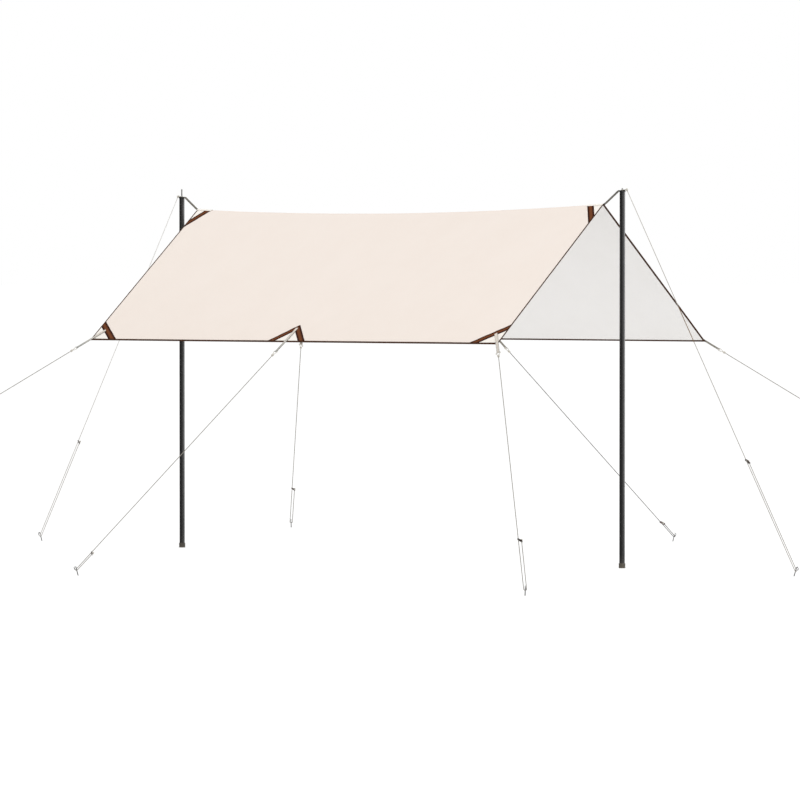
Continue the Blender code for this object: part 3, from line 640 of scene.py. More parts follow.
class Skin:
    """The points, faces and surface coordinates of one piece while it is made."""

    def __init__(self, name: str, *finishes: Finish) -> None:
        """Start an empty skin.

        Args:
            name: The piece's name.
            finishes: The finishes that its faces may take. A finish is named by its number here.
        """
        self.name = name
        self.finishes = finishes
        self.points: list[Vector] = []
        self.faces: list[tuple[int, ...]] = []
        self.corners: list[Place] = []
        self.choice: list[int] = []

    def add_face(self, indices: Sequence[int], places: Sequence[Place], finish: int) -> None:
        """Add one face over points that are already there.

        Args:
            indices: The numbers of its points.
            places: Their surface coordinates.
            finish: Its finish.
        """
        self.faces.append(tuple(indices))
        self.corners.extend(places)
        self.choice.append(finish)

    def refinish(self, count: int, finish: int) -> None:
        """Give the first faces another finish."""
        self.choice[:count] = [finish] * count

    def add_grid(
        self,
        rows: Sequence[Sequence[Vector]],
        places: Sequence[Sequence[Place]],
        finish: Callable[[int, int], int] = lambda i, j: 0,
    ) -> None:
        """Lay a skin over rows of points.

        Args:
            rows: Rows of equal length.
            places: The surface coordinates of the points, in metres, laid out in the same way.
            finish: Gives the finish of the cell in row i and column j.
        """
        wide = len(rows[0])
        start = len(self.points)
        self.points.extend(point for row in rows for point in row)
        flat = [place for row in places for place in row]
        for i in range(len(rows) - 1):
            for j in range(wide - 1):
                cell = [i * wide + j, i * wide + j + 1, (i + 1) * wide + j + 1, (i + 1) * wide + j]
                self.add_face([start + k for k in cell], [flat[k] for k in cell], finish(i, j))

    def add_cap(self, ring: Sequence[Vector], places: Sequence[Place], finish: int = 0) -> None:
        """Close an end with one flat face on points of its own.

        Args:
            ring: The face's points in order.
            places: Their surface coordinates.
            finish: The face's finish.
        """
        start = len(self.points)
        self.points.extend(ring)
        self.add_face(range(start, start + len(ring)), places, finish)

    def add_sweep(
        self,
        sections: Sequence[Sequence[Vector]],
        along: Sequence[float],
        around: Sequence[float],
        capped: bool = True,
        finish: int = 0,
    ) -> None:
        """Skin over closed sections of equal count.

        Args:
            sections: The sections, each as its points in order.
            along: The first surface coordinate of each section.
            around: The second surface coordinate of each point, and of the first one again.
            capped: Whether the two ends are closed.
            finish: The finish of all its faces.
        """
        rows = [[*section, section[0]] for section in sections]
        places = [[(u, v) for v in around] for u in along]
        self.add_grid(rows, places, lambda i, j: finish)
        for k in (0, -1) if capped else ():
            self.add_cap(sections[k], places[k][:-1], finish)

    def add_rod(
        self, path: Sequence[Vector], radius: float, sides: int = ROD_SIDES, finish: int = 0
    ) -> None:
        """Add a round rod along a path, with rounded ends.

        Args:
            path: The points of its middle line.
            radius: Its radius, in metres.
            sides: How many sides its section has.
            finish: The finish of all its faces.
        """
        first = (path[0] - path[1]).normalized()
        last = (path[-1] - path[-2]).normalized()
        points = [path[0] + first * (radius * out) for out, _ in reversed(ROD_TIP)]
        points += [*path, *(path[-1] + last * (radius * out) for out, _ in ROD_TIP)]
        tip = [scale for _, scale in ROD_TIP]
        scales = [*reversed(tip), *[1.0] * len(path), *tip]
        side = first.orthogonal().normalized()
        sections, along, reached = [], [], 0.0
        for k, point in enumerate(points):
            before = points[max(k - 1, 0)]
            after = points[min(k + 1, len(points) - 1)]
            direction = (after - before).normalized()
            side = (side - direction * side.dot(direction)).normalized()
            other = direction.cross(side)
            reached += (point - before).length
            ring = []
            for j in range(sides):
                angle = math.tau * j / sides
                ring.append(point + (side * math.cos(angle) + other * math.sin(angle)) * (radius * scales[k]))
            sections.append(ring)
            along.append(reached)
        self.add_sweep(sections, along, [j / sides for j in range(sides + 1)], finish=finish)

    def add_turned(self, middle: Vector, profile: Sequence[Place], sides: int) -> None:
        """Add a solid of revolution about an upright line.

        Args:
            middle: Where the line stands.
            profile: Closed profile of (radius, height) points.
            sides: How many sides it has round.
        """
        sections, along = [], []
        for k in range(sides + 1):
            angle = math.tau * k / sides
            spoke = Vector((math.cos(angle), math.sin(angle), 0.0))
            sections.append([middle + spoke * radius + UP * height for radius, height in profile])
            along.append(k / sides)
        self.add_sweep(sections, along, lengths_round(profile), capped=False)

    def add_stitches(self, track: Track, stitch: Stitch, finish: int) -> None:
        """Lay a row of stitches along a line on the surface.

        Args:
            track: The line that they follow.
            stitch: How they are sewn.
            finish: The finish of the thread.
        """
        count = max(int(track.reached[-1] / stitch.pitch), 1)
        for k in range(count):
            point, direction, outward = track.at(track.reached[-1] * (k + 0.5) / count)
            across = direction.cross(outward).normalized() * (stitch.thread / 2)
            raised = outward * (stitch.thread / 2)
            reach = direction * (stitch.pitch * stitch.fill / 2)
            start = len(self.points)
            self.points.extend([point - reach, point + reach])
            for shift in (-0.5, 0.5):
                middle = point + reach * shift
                self.points.extend([middle + across, middle + raised, middle - across, middle - raised])
            for j in range(4):
                a, b = start + 2 + j, start + 2 + (j + 1) % 4
                places = [(0.0, 0.0)] * 4
                self.add_face((start, a, b), places[:3], finish)
                self.add_face((a, a + 4, b + 4, b), places, finish)
                self.add_face((start + 1, b + 4, a + 4), places[:3], finish)

    def make(self, nodes: Sequence[str] = (), crease: float = 50.0) -> Piece:
        """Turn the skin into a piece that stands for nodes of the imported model.

        Args:
            nodes: The nodes that it stands for.
            crease: The angle in degrees from which an edge between faces stays sharp.

        Returns:
            The finished piece.
        """
        mesh = bpy.data.meshes.new(self.name)
        mesh.from_pydata(self.points, [], self.faces)
        layer = mesh.uv_layers.new(name="surface")
        layer.data.foreach_set("uv", [value for place in self.corners for value in place])
        mesh.polygons.foreach_set("material_index", self.choice)
        with edited(mesh) as bm:
            bmesh.ops.remove_doubles(bm, verts=bm.verts, dist=WELD)
        for finish in self.finishes:
            mesh.materials.append(finish.material())
        mesh.shade_smooth()
        mesh.set_sharp_from_angle(angle=math.radians(crease))
        piece = link(self.name, mesh)
        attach(piece, "root")
        if nodes:
            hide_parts(*nodes)
        LOG.info("%s: %d faces for %s", self.name, len(mesh.polygons), ", ".join(nodes) or "no node")
        return piece


@dataclass(frozen=True)
class SheetShape:
    """How the pitched sheet hangs between its ridge and its hems."""

    length: float = 4.0
    width: float = 3.0
    ridge_z: float = 2.560
    hem_z: float = 1.583
    ridge_sag: float = 0.048
    hem_bow: float = 0.015
    slack: float = 0.012
    fold: float = 0.0015
    ridge_lines: tuple[float, ...] = (-0.009, -0.004, -0.0015, 0.0, 0.0015, 0.004, 0.009)
    crease: float = 0.0011
    creases_round: int = 11
    crease_turn: float = 1.7  # turns each tie's fan of creases a little differently
    crease_size: float = 0.32  # how far past their start they are highest
    crease_from: float = 0.2  # where they start and stop, as parts of that
    crease_to: float = 5.0

    @property
    def half(self) -> float:
        """Half of the length along the ridge."""
        return self.length / 2

    @property
    def slope(self) -> float:
        """The distance across the cloth from the ridge to a hem."""
        return self.width / 2

    @property
    def hem_y(self) -> float:
        """The level distance from the ridge to a hem."""
        return math.sqrt(self.slope ** 2 - (self.ridge_z - self.hem_z) ** 2)

    def ties(self) -> list[Place]:
        """Where the sheet is tied.

        Returns:
            Its corners, the middles of its hems, and the ends of its ridge.
        """
        half, slope = self.half, self.slope
        return [
            (-half, -slope), (half, -slope), (-half, slope), (half, slope),
            (0.0, -slope), (0.0, slope), (-half, 0.0), (half, 0.0),
        ]

    def tension(self, x: float, c: float) -> float:
        """Add up the faint creases that fan out from the ties.

        Args:
            x: The place along the ridge.
            c: The place across it.

        Returns:
            How far they raise the cloth there.
        """
        height = 0.0
        for tie_x, tie_c in self.ties():
            reach = math.hypot(x - tie_x, c - tie_c) / self.crease_size
            if self.crease_from < reach < self.crease_to:
                angle = math.atan2(c - tie_c, x - tie_x)
                rise = (reach - self.crease_from) * math.exp(1.0 + self.crease_from - reach)
                height += rise * math.cos(self.creases_round * angle + self.crease_turn * tie_x + tie_c)
        return self.crease * height

    def middle(self, x: float, c: float) -> Vector:
        """Find the middle of the cloth's thickness.

        Args:
            x: The place along the ridge.
            c: The place across it.

        Returns:
            The point there.
        """
        inside = min(abs(c) / self.slope, 1.0)
        soft = (math.hypot(c, self.fold) - self.fold * (1.0 - inside)) / self.slope
        bow = 1.0 - (x / self.half) ** 2
        drop = bow * (self.ridge_sag * (1.0 - inside) + self.slack * 4.0 * inside * (1.0 - inside))
        height = self.ridge_z - soft * (self.ridge_z - self.hem_z) - drop + self.tension(x, c)
        return Vector((x, c / self.slope * (self.hem_y + self.hem_bow * bow), height))

    def normal(self, x: float, c: float) -> Vector:
        """Find the way up out of the cloth.

        Args:
            x: The place along the ridge.
            c: The place across it.

        Returns:
            The direction there.
        """
        step = MILLIMETRE
        along = self.middle(x + step, c) - self.middle(x - step, c)
        across = self.middle(x, c + step) - self.middle(x, c - step)
        return along.cross(across).normalized()

    def at(self, x: float, c: float, w: float) -> Vector:
        """The point w above the middle of the modelled cloth's thickness at (x, c)."""
        return self.middle(x, c) + self.normal(x, c) * w

    def track(self, places: Sequence[Place], w: float) -> Track:
        """A line on the sheet through places, w above its middle."""
        return Track([self.at(x, c, w) for x, c in places], [self.normal(x, c) for x, c in places])

    def steps_across(self, cell: float) -> list[float]:
        """Divide the cloth from hem to hem, more closely at the ridge.

        Args:
            cell: The greatest distance from one step to the next.

        Returns:
            The steps of c.
        """
        count = math.ceil(self.width / cell)
        steps = {round(self.width * k / count - self.slope, 6) for k in range(count + 1)}
        return sorted({*steps, *self.ridge_lines})


@dataclass(frozen=True)
class BraceSize:
    """Where a brace's outer edge meets the sheet's edge, and how far in from that edge it reaches."""

    foot: float
    apex: float
    width: float = 0.050

    @property
    def distance(self) -> float:
        """How far the outer edge lies from the corner between its foot and its apex."""
        return 1.0 / math.hypot(1.0 / self.foot, 1.0 / self.apex)

    def backs(self, p: float, q: float) -> bool:
        """Whether the place p along the sheet's edge and q in from it is inside the brace's middle line."""
        return abs(p) / self.foot + q / self.apex < 1.0 - 0.5 * self.width / self.distance


CORNER_BRACE = BraceSize(0.284, 0.213)
HEM_BRACE = BraceSize(0.194, 0.206)
RIDGE_BRACE = BraceSize(0.222, 0.152)


@dataclass(frozen=True)
class Layers:
    """Heights of the sewn layers above the middle of the modelled cloth, in metres."""

    cloth_middle: float = 0.0012
    cloth_half: float = 0.00045
    binding_inner: float = 0.0006
    binding_outer: float = 0.0014
    brace_bottom: float = 0.0018
    brace_top: float = 0.0034
    strap_middle: float = 0.00505
    ridge_strap_bottom: float = 0.0037


@dataclass
class Canopy:
    """The sheet itself: one piece of cloth, with the seam along its ridge."""

    shape: SheetShape
    layers: Layers
    cell: float = 0.025
    seam_half: float = 0.008
    seam_share: float = 0.99  # the part of the ridge that it runs along
    stitch: Stitch = Stitch(0.008, 0.0007)

    def doubled(self, x: float, c: float) -> bool:
        """Tell whether the cloth is doubled, inside one of the braces.

        Args:
            x: The place along the ridge.
            c: The place across it.

        Returns:
            True where it is doubled.
        """
        from_end = self.shape.half - abs(x)
        from_hem = self.shape.slope - abs(c)
        corner = CORNER_BRACE.backs(from_end, from_hem)
        return corner or HEM_BRACE.backs(x, from_hem) or RIDGE_BRACE.backs(c, from_end)

    def build(self) -> Piece:
        """Make the cloth as one closed thin skin, beige outside and pale inside.

        Returns:
            The sheet's piece.
        """
        shape, layers = self.shape, self.layers
        columns = round(shape.length / self.cell)
        xs = [-shape.half + shape.length * k / columns for k in range(columns + 1)]
        cs = shape.steps_across(self.cell)
        places = [[(x, c) for x in xs] for c in cs]
        skin = Skin("canopy_sheet", CLOTH_OUTSIDE, CLOTH_INSIDE, CLOTH_DOUBLED)

        def side(offset: float) -> list[list[Vector]]:
            """The rows of one face of the cloth."""
            return [[shape.at(x, c, layers.cloth_middle + offset) for x, c in row] for row in places]

        def outside(i: int, j: int) -> int:
            """The finish of the outer cell in row i and column j."""
            return 2 if self.doubled((xs[j] + xs[j + 1]) / 2, (cs[i] + cs[i + 1]) / 2) else 0

        top, bottom = side(layers.cloth_half), side(-layers.cloth_half)
        skin.add_grid(top, places, outside)
        skin.add_grid(bottom, places, lambda i, j: 1)
        for row in (0, -1):
            skin.add_grid([top[row], bottom[row]], [places[row], places[row]])
        for column in (0, -1):
            edge = [[line[column] for line in face] for face in (top, bottom)]
            ends = [line[column] for line in places]
            skin.add_grid(edge, [ends, ends])
        return skin.make(("front_panel", "back_panel"), crease=80.0)

    def build_seam(self) -> Piece:
        """Make the two rows of stitches that join the halves of the cloth at the ridge.

        Returns:
            The seam's piece.
        """
        skin = Skin("ridge_seam", PALE_THREAD)
        reach, count = self.seam_share * self.shape.half, round(self.shape.length / self.cell)
        for c in (-self.seam_half, self.seam_half):
            places = [(-reach + 2 * reach * k / count, c) for k in range(count + 1)]
            line = self.shape.track(places, self.layers.cloth_middle + self.layers.cloth_half)
            skin.add_stitches(line, self.stitch, 0)
        return skin.make()


@dataclass
class EdgeBinding:
    """The dark tape folded over the sheet's edge all the way round."""

    shape: SheetShape
    layers: Layers
    width: float = 0.016
    end_width: float = 0.0092
    fold: float = 0.0016
    fold_steps: int = 6
    cell: float = 0.025
    stitch_in: float = 0.003
    stitch: Stitch = Stitch(0.009, 0.0008)

    def stations(self) -> list[tuple[float, float, float, float]]:
        """Walk round the sheet's edge.

        Returns:
            Places as (x, c, outward x, outward c), with the corners mitred, and the first one again.
        """
        half, slope = self.shape.half, self.shape.slope
        columns = round(2 * half / self.cell)
        xs = [-half + 2 * half * k / columns for k in range(columns)]
        cs = self.shape.steps_across(self.cell)[:-1]
        stations = [(x, -slope, -1.0 if x == xs[0] else 0.0, -1.0) for x in xs]
        stations += [(half, c, 1.0, -1.0 if c == cs[0] else 0.0) for c in cs]
        stations += [(-x, slope, 1.0 if x == xs[0] else 0.0, 1.0) for x in xs]
        stations += [(-half, -c, -1.0, 1.0 if c == cs[0] else 0.0) for c in cs]
        return [*stations, stations[0]]

    def section(self) -> list[Place]:
        """Cut the folded tape across.

        Returns:
            The section's points as (outward, height) about the cloth's middle.
        """
        inner, outer, width = self.layers.binding_inner, self.layers.binding_outer, self.width
        points = [(-width, -inner), (GAP, -inner), (GAP, inner), (-width, inner)]
        points += [(-width - SOFT, (inner + outer) / 2), (-width + SOFT, outer)]
        for k in range(self.fold_steps + 1):
            angle = math.radians(90.0 - 180.0 * k / self.fold_steps)
            points.append((self.fold * math.cos(angle), outer * math.sin(angle)))
        points += [(-width + SOFT, -outer), (-width - SOFT, -(inner + outer) / 2)]
        return points

    def narrowed(self, out: float, w: float) -> float:
        """How far out a point of the section lies on the ends, where the tape's outer leaf is narrower."""
        return out * self.end_width / self.width if out < 0.0 < w else out

    def spot(self, x: float, c: float, out_x: float, out_c: float, out: float, w: float) -> Vector:
        """The tape's point (out, w) of its section at the place (x, c) of the sheet's edge."""
        return self.shape.at(x + out_x * self.narrowed(out, w), c + out_c * out, self.layers.cloth_middle + w)

    def build(self) -> Piece:
        """Make the tape with a row of stitches on each face.

        Returns:
            The binding's piece.
        """
        skin = Skin("edge_binding_tape", BINDING_TAPE, BROWN_THREAD)
        stations, section = self.stations(), self.section()
        sections, along, reached = [], [], 0.0
        for before, here in zip([stations[0], *stations], stations):
            reached += math.dist(here[:2], before[:2])
            along.append(reached)
            sections.append([self.spot(*here, out, w) for out, w in section])
        skin.add_sweep(sections, along, lengths_round(section), capped=False)
        inward = self.stitch_in - self.width
        for face in (1.0, -1.0):
            beside = self.narrowed(inward, face)
            places = [(x + out_x * beside, c + out_c * inward) for x, c, out_x, out_c in stations]
            line = self.shape.track(places, self.layers.cloth_middle + face * self.layers.binding_outer)
            skin.add_stitches(line, self.stitch, 1)
        return skin.make(("edge_binding",))


@dataclass
class Brace:
    """A webbing band sewn on the sheet round one tie, straight or bent over an apex.

    A place under the brace is (p, q): p along the edge that it starts from, and q inward from it. A share
    of its width is counted from its outer edge.
    """

    shape: SheetShape
    layers: Layers
    label: str
    size: BraceSize
    to_sheet: Callable[[float, float], Place]
    bent: bool
    foot_edge: float = 0.0163
    side_edge: float = 0.0095
    cells: int = 14
    apex_steps: Pair = (0.965, 0.985)
    rounding: float = 0.45  # the share of its thickness at which its edges start to round over
    section: tuple[float, ...] = (0.03, 0.25, 0.5, 0.75, 0.97)  # shares of the width, across the top
    stitch_shares: Pair = (0.09, 0.91)
    stitch_margin: float = 0.02  # the share of its length that stays bare at each end
    stitch: Stitch = Stitch(0.007, 0.0009)

    def edge_line(self, share: float) -> tuple[Vector, Vector]:
        """Find the lengthwise line that lies a share of the width in.

        Args:
            share: The share.

        Returns:
            The line's two ends as places under the brace.
        """
        scale = 1.0 - share * self.size.width / self.size.distance
        foot, apex = self.size.foot * scale, self.size.apex * scale
        low, side = self.foot_edge, self.side_edge
        start = Vector((foot * (1.0 - low / apex), low))
        stop = Vector((0.0, apex)) if self.bent else Vector((side, apex * (1.0 - side / foot)))
        return start, stop

    def legs(self) -> list[float]:
        """The signs of p that the brace has a leg on."""
        return [-1.0, 1.0] if self.bent else [1.0]

    def steps(self) -> list[float]:
        """How far along its leg each section lies, closer together at the apex."""
        even = [k / self.cells for k in range(self.cells + 1)]
        return sorted({*even, *self.apex_steps}) if self.bent else even

    def build(self) -> Piece:
        """Make the band and the rows of stitches along both of its edges.

        Returns:
            The brace's piece.
        """
        skin = Skin(f"webbing_{self.label}", BROWN_WEBBING, BROWN_THREAD)
        low, high = self.layers.brace_bottom, self.layers.brace_top
        rounded = low + self.rounding * (high - low)
        top = [(share, high) for share in self.section]
        section = [(1.0, low), (0.0, low), (0.0, rounded), *top, (1.0, rounded), (1.0, low)]
        way = Vector((self.size.foot, -self.size.apex)).normalized()
        for leg in self.legs():
            rows, places = [], []
            for step in self.steps():
                row, spots = [], []
                for share, w in section:
                    start, stop = self.edge_line(share)
                    spot = start.lerp(stop, step)
                    row.append(self.shape.at(*self.to_sheet(leg * spot.x, spot.y), w))
                    spots.append((spot.dot(way), (share - 0.5) * self.size.width))
                rows.append(row)
                places.append(spots)
            skin.add_grid(rows, places)
            for k in (0,) if self.bent else (0, -1):
                skin.add_cap(rows[k][:-1], places[k][:-1])
        for share in self.stitch_shares:
            start, stop = self.edge_line(share)
            sewn = [self.stitch_margin + (1.0 - 2 * self.stitch_margin) * step for step in self.steps()]
            line = [start.lerp(stop, step) for step in sewn]
            for leg in self.legs():
                track = self.shape.track([self.to_sheet(leg * spot.x, spot.y) for spot in line], high)
                skin.add_stitches(track, self.stitch, 1)
        return skin.make((f"brace_{self.label}",))


@dataclass
class BraceSet:
    """The eight braces: across the corners, on the middle of the hems, and on the ends of the ridge."""

    shape: SheetShape
    layers: Layers

    def hem_place(self, sign: int, p: float, q: float) -> Place:
        """The place on the sheet p along a hem from its middle and q in from it."""
        return p, sign * (self.shape.slope - q)

    def corner_place(self, sign: int, side: int, p: float, q: float) -> Place:
        """The place on the sheet p along a hem from its corner and q in from it."""
        return side * (self.shape.half - p), sign * (self.shape.slope - q)

    def ridge_place(self, side: int, p: float, q: float) -> Place:
        """The place on the sheet p along an end from the ridge and q in from it."""
        return side * (self.shape.half - q), p

    def build(self) -> list[Piece]:
        """Make the braces.

        Returns:
            Their pieces.
        """
        braces = []
        for slope in Slope:
            row, sign = slope.name.lower(), slope.value
            to_sheet = partial(self.hem_place, sign)
            braces.append(Brace(self.shape, self.layers, f"{row}_middle", HEM_BRACE, to_sheet, True))
            for end in End:
                label, to_sheet = f"{row}_{end.name.lower()}", partial(self.corner_place, sign, end.value)
                braces.append(Brace(self.shape, self.layers, label, CORNER_BRACE, to_sheet, False))
        for end in End:
            label, to_sheet = f"ridge_{end.name.lower()}", partial(self.ridge_place, end.value)
            band = Brace(self.shape, self.layers, label, RIDGE_BRACE, to_sheet, True)
            band.foot_edge = band.side_edge
            braces.append(band)
        return [brace.build() for brace in braces]


@dataclass
class Tie:
    """One guy line: where it leaves the tent, where its peg stands, and how the cord runs between them."""

    label: str
    tent: Vector
    peg_foot: Vector
    slider_place: float  # the share of the taut run at which the slider sits
    cord: float = 0.0025
    loop: float = 0.0095
    peg_radius: float = 0.0035
    peg_lean: float = math.radians(20.0)
    loop_height: float = 0.040
    slider_across: float = 0.0205
    slider_along: float = 0.022
    fit_rounds: int = 3
    free_side: Vector = field(default_factory=lambda: Vector((1.0, 0.9, 0.0)))

    def __post_init__(self) -> None:
        """Work out the directions of the line, its loop round the peg and its slider."""
        tent, foot = self.tent, self.peg_foot
        self.outward = Vector((foot.x - tent.x, foot.y - tent.y, 0.0)).normalized()
        self.side = Vector((-self.outward.y, self.outward.x, 0.0))
        if self.side.dot(self.free_side) < 0:
            self.side.negate()
        self.shaft = (self.outward * math.sin(self.peg_lean) + UP * math.cos(self.peg_lean)).normalized()
        seat = foot + self.shaft * (self.loop_height / self.shaft.z)
        self.run = (seat - tent).normalized()
        for _ in range(self.fit_rounds):
            self.through = self.run.cross(self.side)
            reach = self.peg_radius / abs(self.through.dot(self.shaft))
            self.loop_centre = seat - self.run * (self.loop - self.cord - GAP - reach)
            taut_end = self.loop_centre - self.side * self.loop
            self.run = (taut_end - tent).normalized()
        self.slider_taut = tent + self.run * ((taut_end - tent).length * self.slider_place)
        self.slider_free = self.slider_taut + self.side * self.slider_across + self.run * self.slider_along


@dataclass
class GuyLine:
    """The braided cord of one tie with its knots, its slider and its peg."""

    tie: Tie
    tent_end: list[Vector]
    knot: Vector
    finish: BraidedCord = CORD
    knot_radius: float = 0.0085
    knot_turns: float = 3.0
    stopper_radius: float = 0.0075
    stopper_turns: float = 2.0
    turn_steps: int = 12
    loop_steps: int = 14
    tail: float = 0.002  # how far the cord sticks out of its stopper knot
    slider_thick: float = 0.0025
    slider_width: float = 0.017
    slider_margin: float = 0.0033
    slider_soft: float = 0.0005
    slot_half_length: float = 0.0055
    slot_half_width: float = 0.00305
    slot_steps: int = 20
    peg_shaft: float = 0.062
    peg_below: float = 0.010
    peg_sides: int = 18
    hook_radius: float = 0.008
    hook_tip: float = 0.010
    hook_steps: int = 16

    def stopper_distance(self) -> float:
        """How far the stopper knot lies from its slot."""
        tilt = self.tie.slider_across / math.hypot(self.tie.slider_across, self.tie.slider_along)
        return (self.stopper_radius + self.slider_thick / 2 + GAP) / tilt

    def wrapped_knot(self, skin: Skin, centre: Vector, outer: float, turns: float) -> None:
        """Wind the cord round itself as a knot.

        Args:
            skin: The skin that gets it.
            centre: The knot's middle.
            outer: Its outer radius.
            turns: How many times the cord goes round.
        """
        tie = self.tie
        radius = outer - tie.cord
        length = 2 * tie.cord * turns
        path = []
        for k in range(int(turns * self.turn_steps) + 1):
            angle = math.tau * k / self.turn_steps
            along = length * (k / (turns * self.turn_steps) - 0.5)
            spoke = tie.side * math.cos(angle) + tie.through * math.sin(angle)
            path.append(centre + tie.run * along + spoke * radius)
        tucked = centre + tie.run * (length * 0.5 + tie.cord)
        skin.add_rod([*path, tucked], tie.cord, finish=1)

    def build_cord(self) -> None:
        """Make the cord from its loop at the tent to the stopper knot at its free end."""
        tie = self.tie
        skin = Skin(f"cord_{tie.label}", self.finish, LIGHTENED_KNOT_CORD)
        turn = arc(tie.loop_centre, -tie.side, tie.run, tie.loop, 0, 180, self.loop_steps)
        stopper = tie.slider_free - tie.run * self.stopper_distance()
        tail = stopper - tie.run * (self.stopper_radius + self.tail)
        skin.add_rod([*self.tent_end, tie.slider_taut, *turn, tie.slider_free, tail], tie.cord)
        # The loop at the tent and the knots take the cord painted lighter against their own shade.
        skin.refinish(ROD_SIDES * len(self.tent_end), 1)
        self.wrapped_knot(skin, self.knot, self.knot_radius, self.knot_turns)
        self.wrapped_knot(skin, stopper, self.stopper_radius, self.stopper_turns)
        skin.make((f"guy_{tie.label}",))

    def slider_loops(self, inset: float) -> list[list[Place]]:
        """Draw the slider's outline and both slots, flat.

        Args:
            inset: How far they are drawn in from the metal's edges.

        Returns:
            The three loops, as places along and across the slider.
        """
        spacing = math.hypot(self.tie.slider_across, self.tie.slider_along)
        reach = spacing / 2 + self.slot_half_length + self.slider_margin - self.slider_width / 2
        radius = self.slider_width / 2 - inset
        outline = []
        for end, start in ((reach, -90.0), (-reach, 90.0)):
            for k in range(self.turn_steps + 1):
                angle = math.radians(start + 180.0 * k / self.turn_steps)
                outline.append((end + radius * math.cos(angle), radius * math.sin(angle)))
        loops = [outline]
        for end in (-spacing / 2, spacing / 2):
            slot = []
            for k in range(self.slot_steps):
                angle = math.tau * k / self.slot_steps
                wide = (self.slot_half_length + inset) * math.cos(angle)
                slot.append((end + wide, (self.slot_half_width + inset) * math.sin(angle)))
            loops.append(slot)
        return loops

    def build_slider(self) -> None:
        """Make the flat tensioner with its two slots and its softened edges."""
        tie = self.tie
        skin = Skin(f"cord_slider_{tie.label}", SLIDER_METAL)
        long_way = (tie.slider_free - tie.slider_taut).normalized()
        flat_way = long_way.cross(tie.through)
        middle = (tie.slider_taut + tie.slider_free) / 2

        def spot(u: float, v: float, z: float) -> Vector:
            """A point of the slider in the frame."""
            return middle + long_way * u + tie.through * v + flat_way * z

        half, soft = self.slider_thick / 2, self.slider_soft
        face = self.slider_loops(soft)
        flat = [place for loop in face for place in loop]
        triangles = tessellate_polygon([[Vector((u, v, 0.0)) for u, v in loop] for loop in face])
        for z in (half, -half):
            start = len(skin.points)
            skin.points.extend(spot(u, v, z) for u, v in flat)
            for triangle in triangles:
                skin.add_face([start + k for k in triangle], [flat[k] for k in triangle], 0)
        levels = [(half, soft), (half - soft, 0.0), (soft - half, 0.0), (-half, soft)]
        for index in range(len(face)):
            rows = []
            for z, inset in levels:
                loop = self.slider_loops(inset)[index]
                rows.append([spot(u, v, z) for u, v in [*loop, loop[0]]])
            skin.add_grid(rows, [[(z, 0.0)] * len(rows[0]) for z, _ in levels])
        skin.make((f"slider_{tie.label}",), crease=40.0)

    def build_peg(self) -> None:
        """Make the hooked peg, cut off level with the ground."""
        tie = self.tie
        away = tie.side.cross(tie.shaft).normalized()
        if away.dot(tie.outward) < 0:
            away.negate()
        shoulder = tie.peg_foot + tie.shaft * self.peg_shaft
        bend = shoulder + away * self.hook_radius
        hook = arc(bend, -away, tie.shaft, self.hook_radius, 0, 180, self.hook_steps)
        path = [tie.peg_foot - tie.shaft * self.peg_below, *hook, hook[-1] - tie.shaft * self.hook_tip]
        skin = Skin(f"ground_peg_{tie.label}", BRIGHT_STEEL)
        skin.add_rod(path, tie.peg_radius, sides=self.peg_sides)
        peg = skin.make((f"peg_{tie.label}",))
        with edited(peg.data) as bm:
            everything = bm.verts[:] + bm.edges[:] + bm.faces[:]
            bmesh.ops.bisect_plane(bm, geom=everything, plane_co=(0, 0, 0), plane_no=UP, clear_inner=True)
            bmesh.ops.contextual_create(bm, geom=[edge for edge in bm.edges if edge.is_boundary])

    def build(self) -> None:
        """Make the cord, the slider and the peg."""
        self.build_cord()
        self.build_slider()
        self.build_peg()


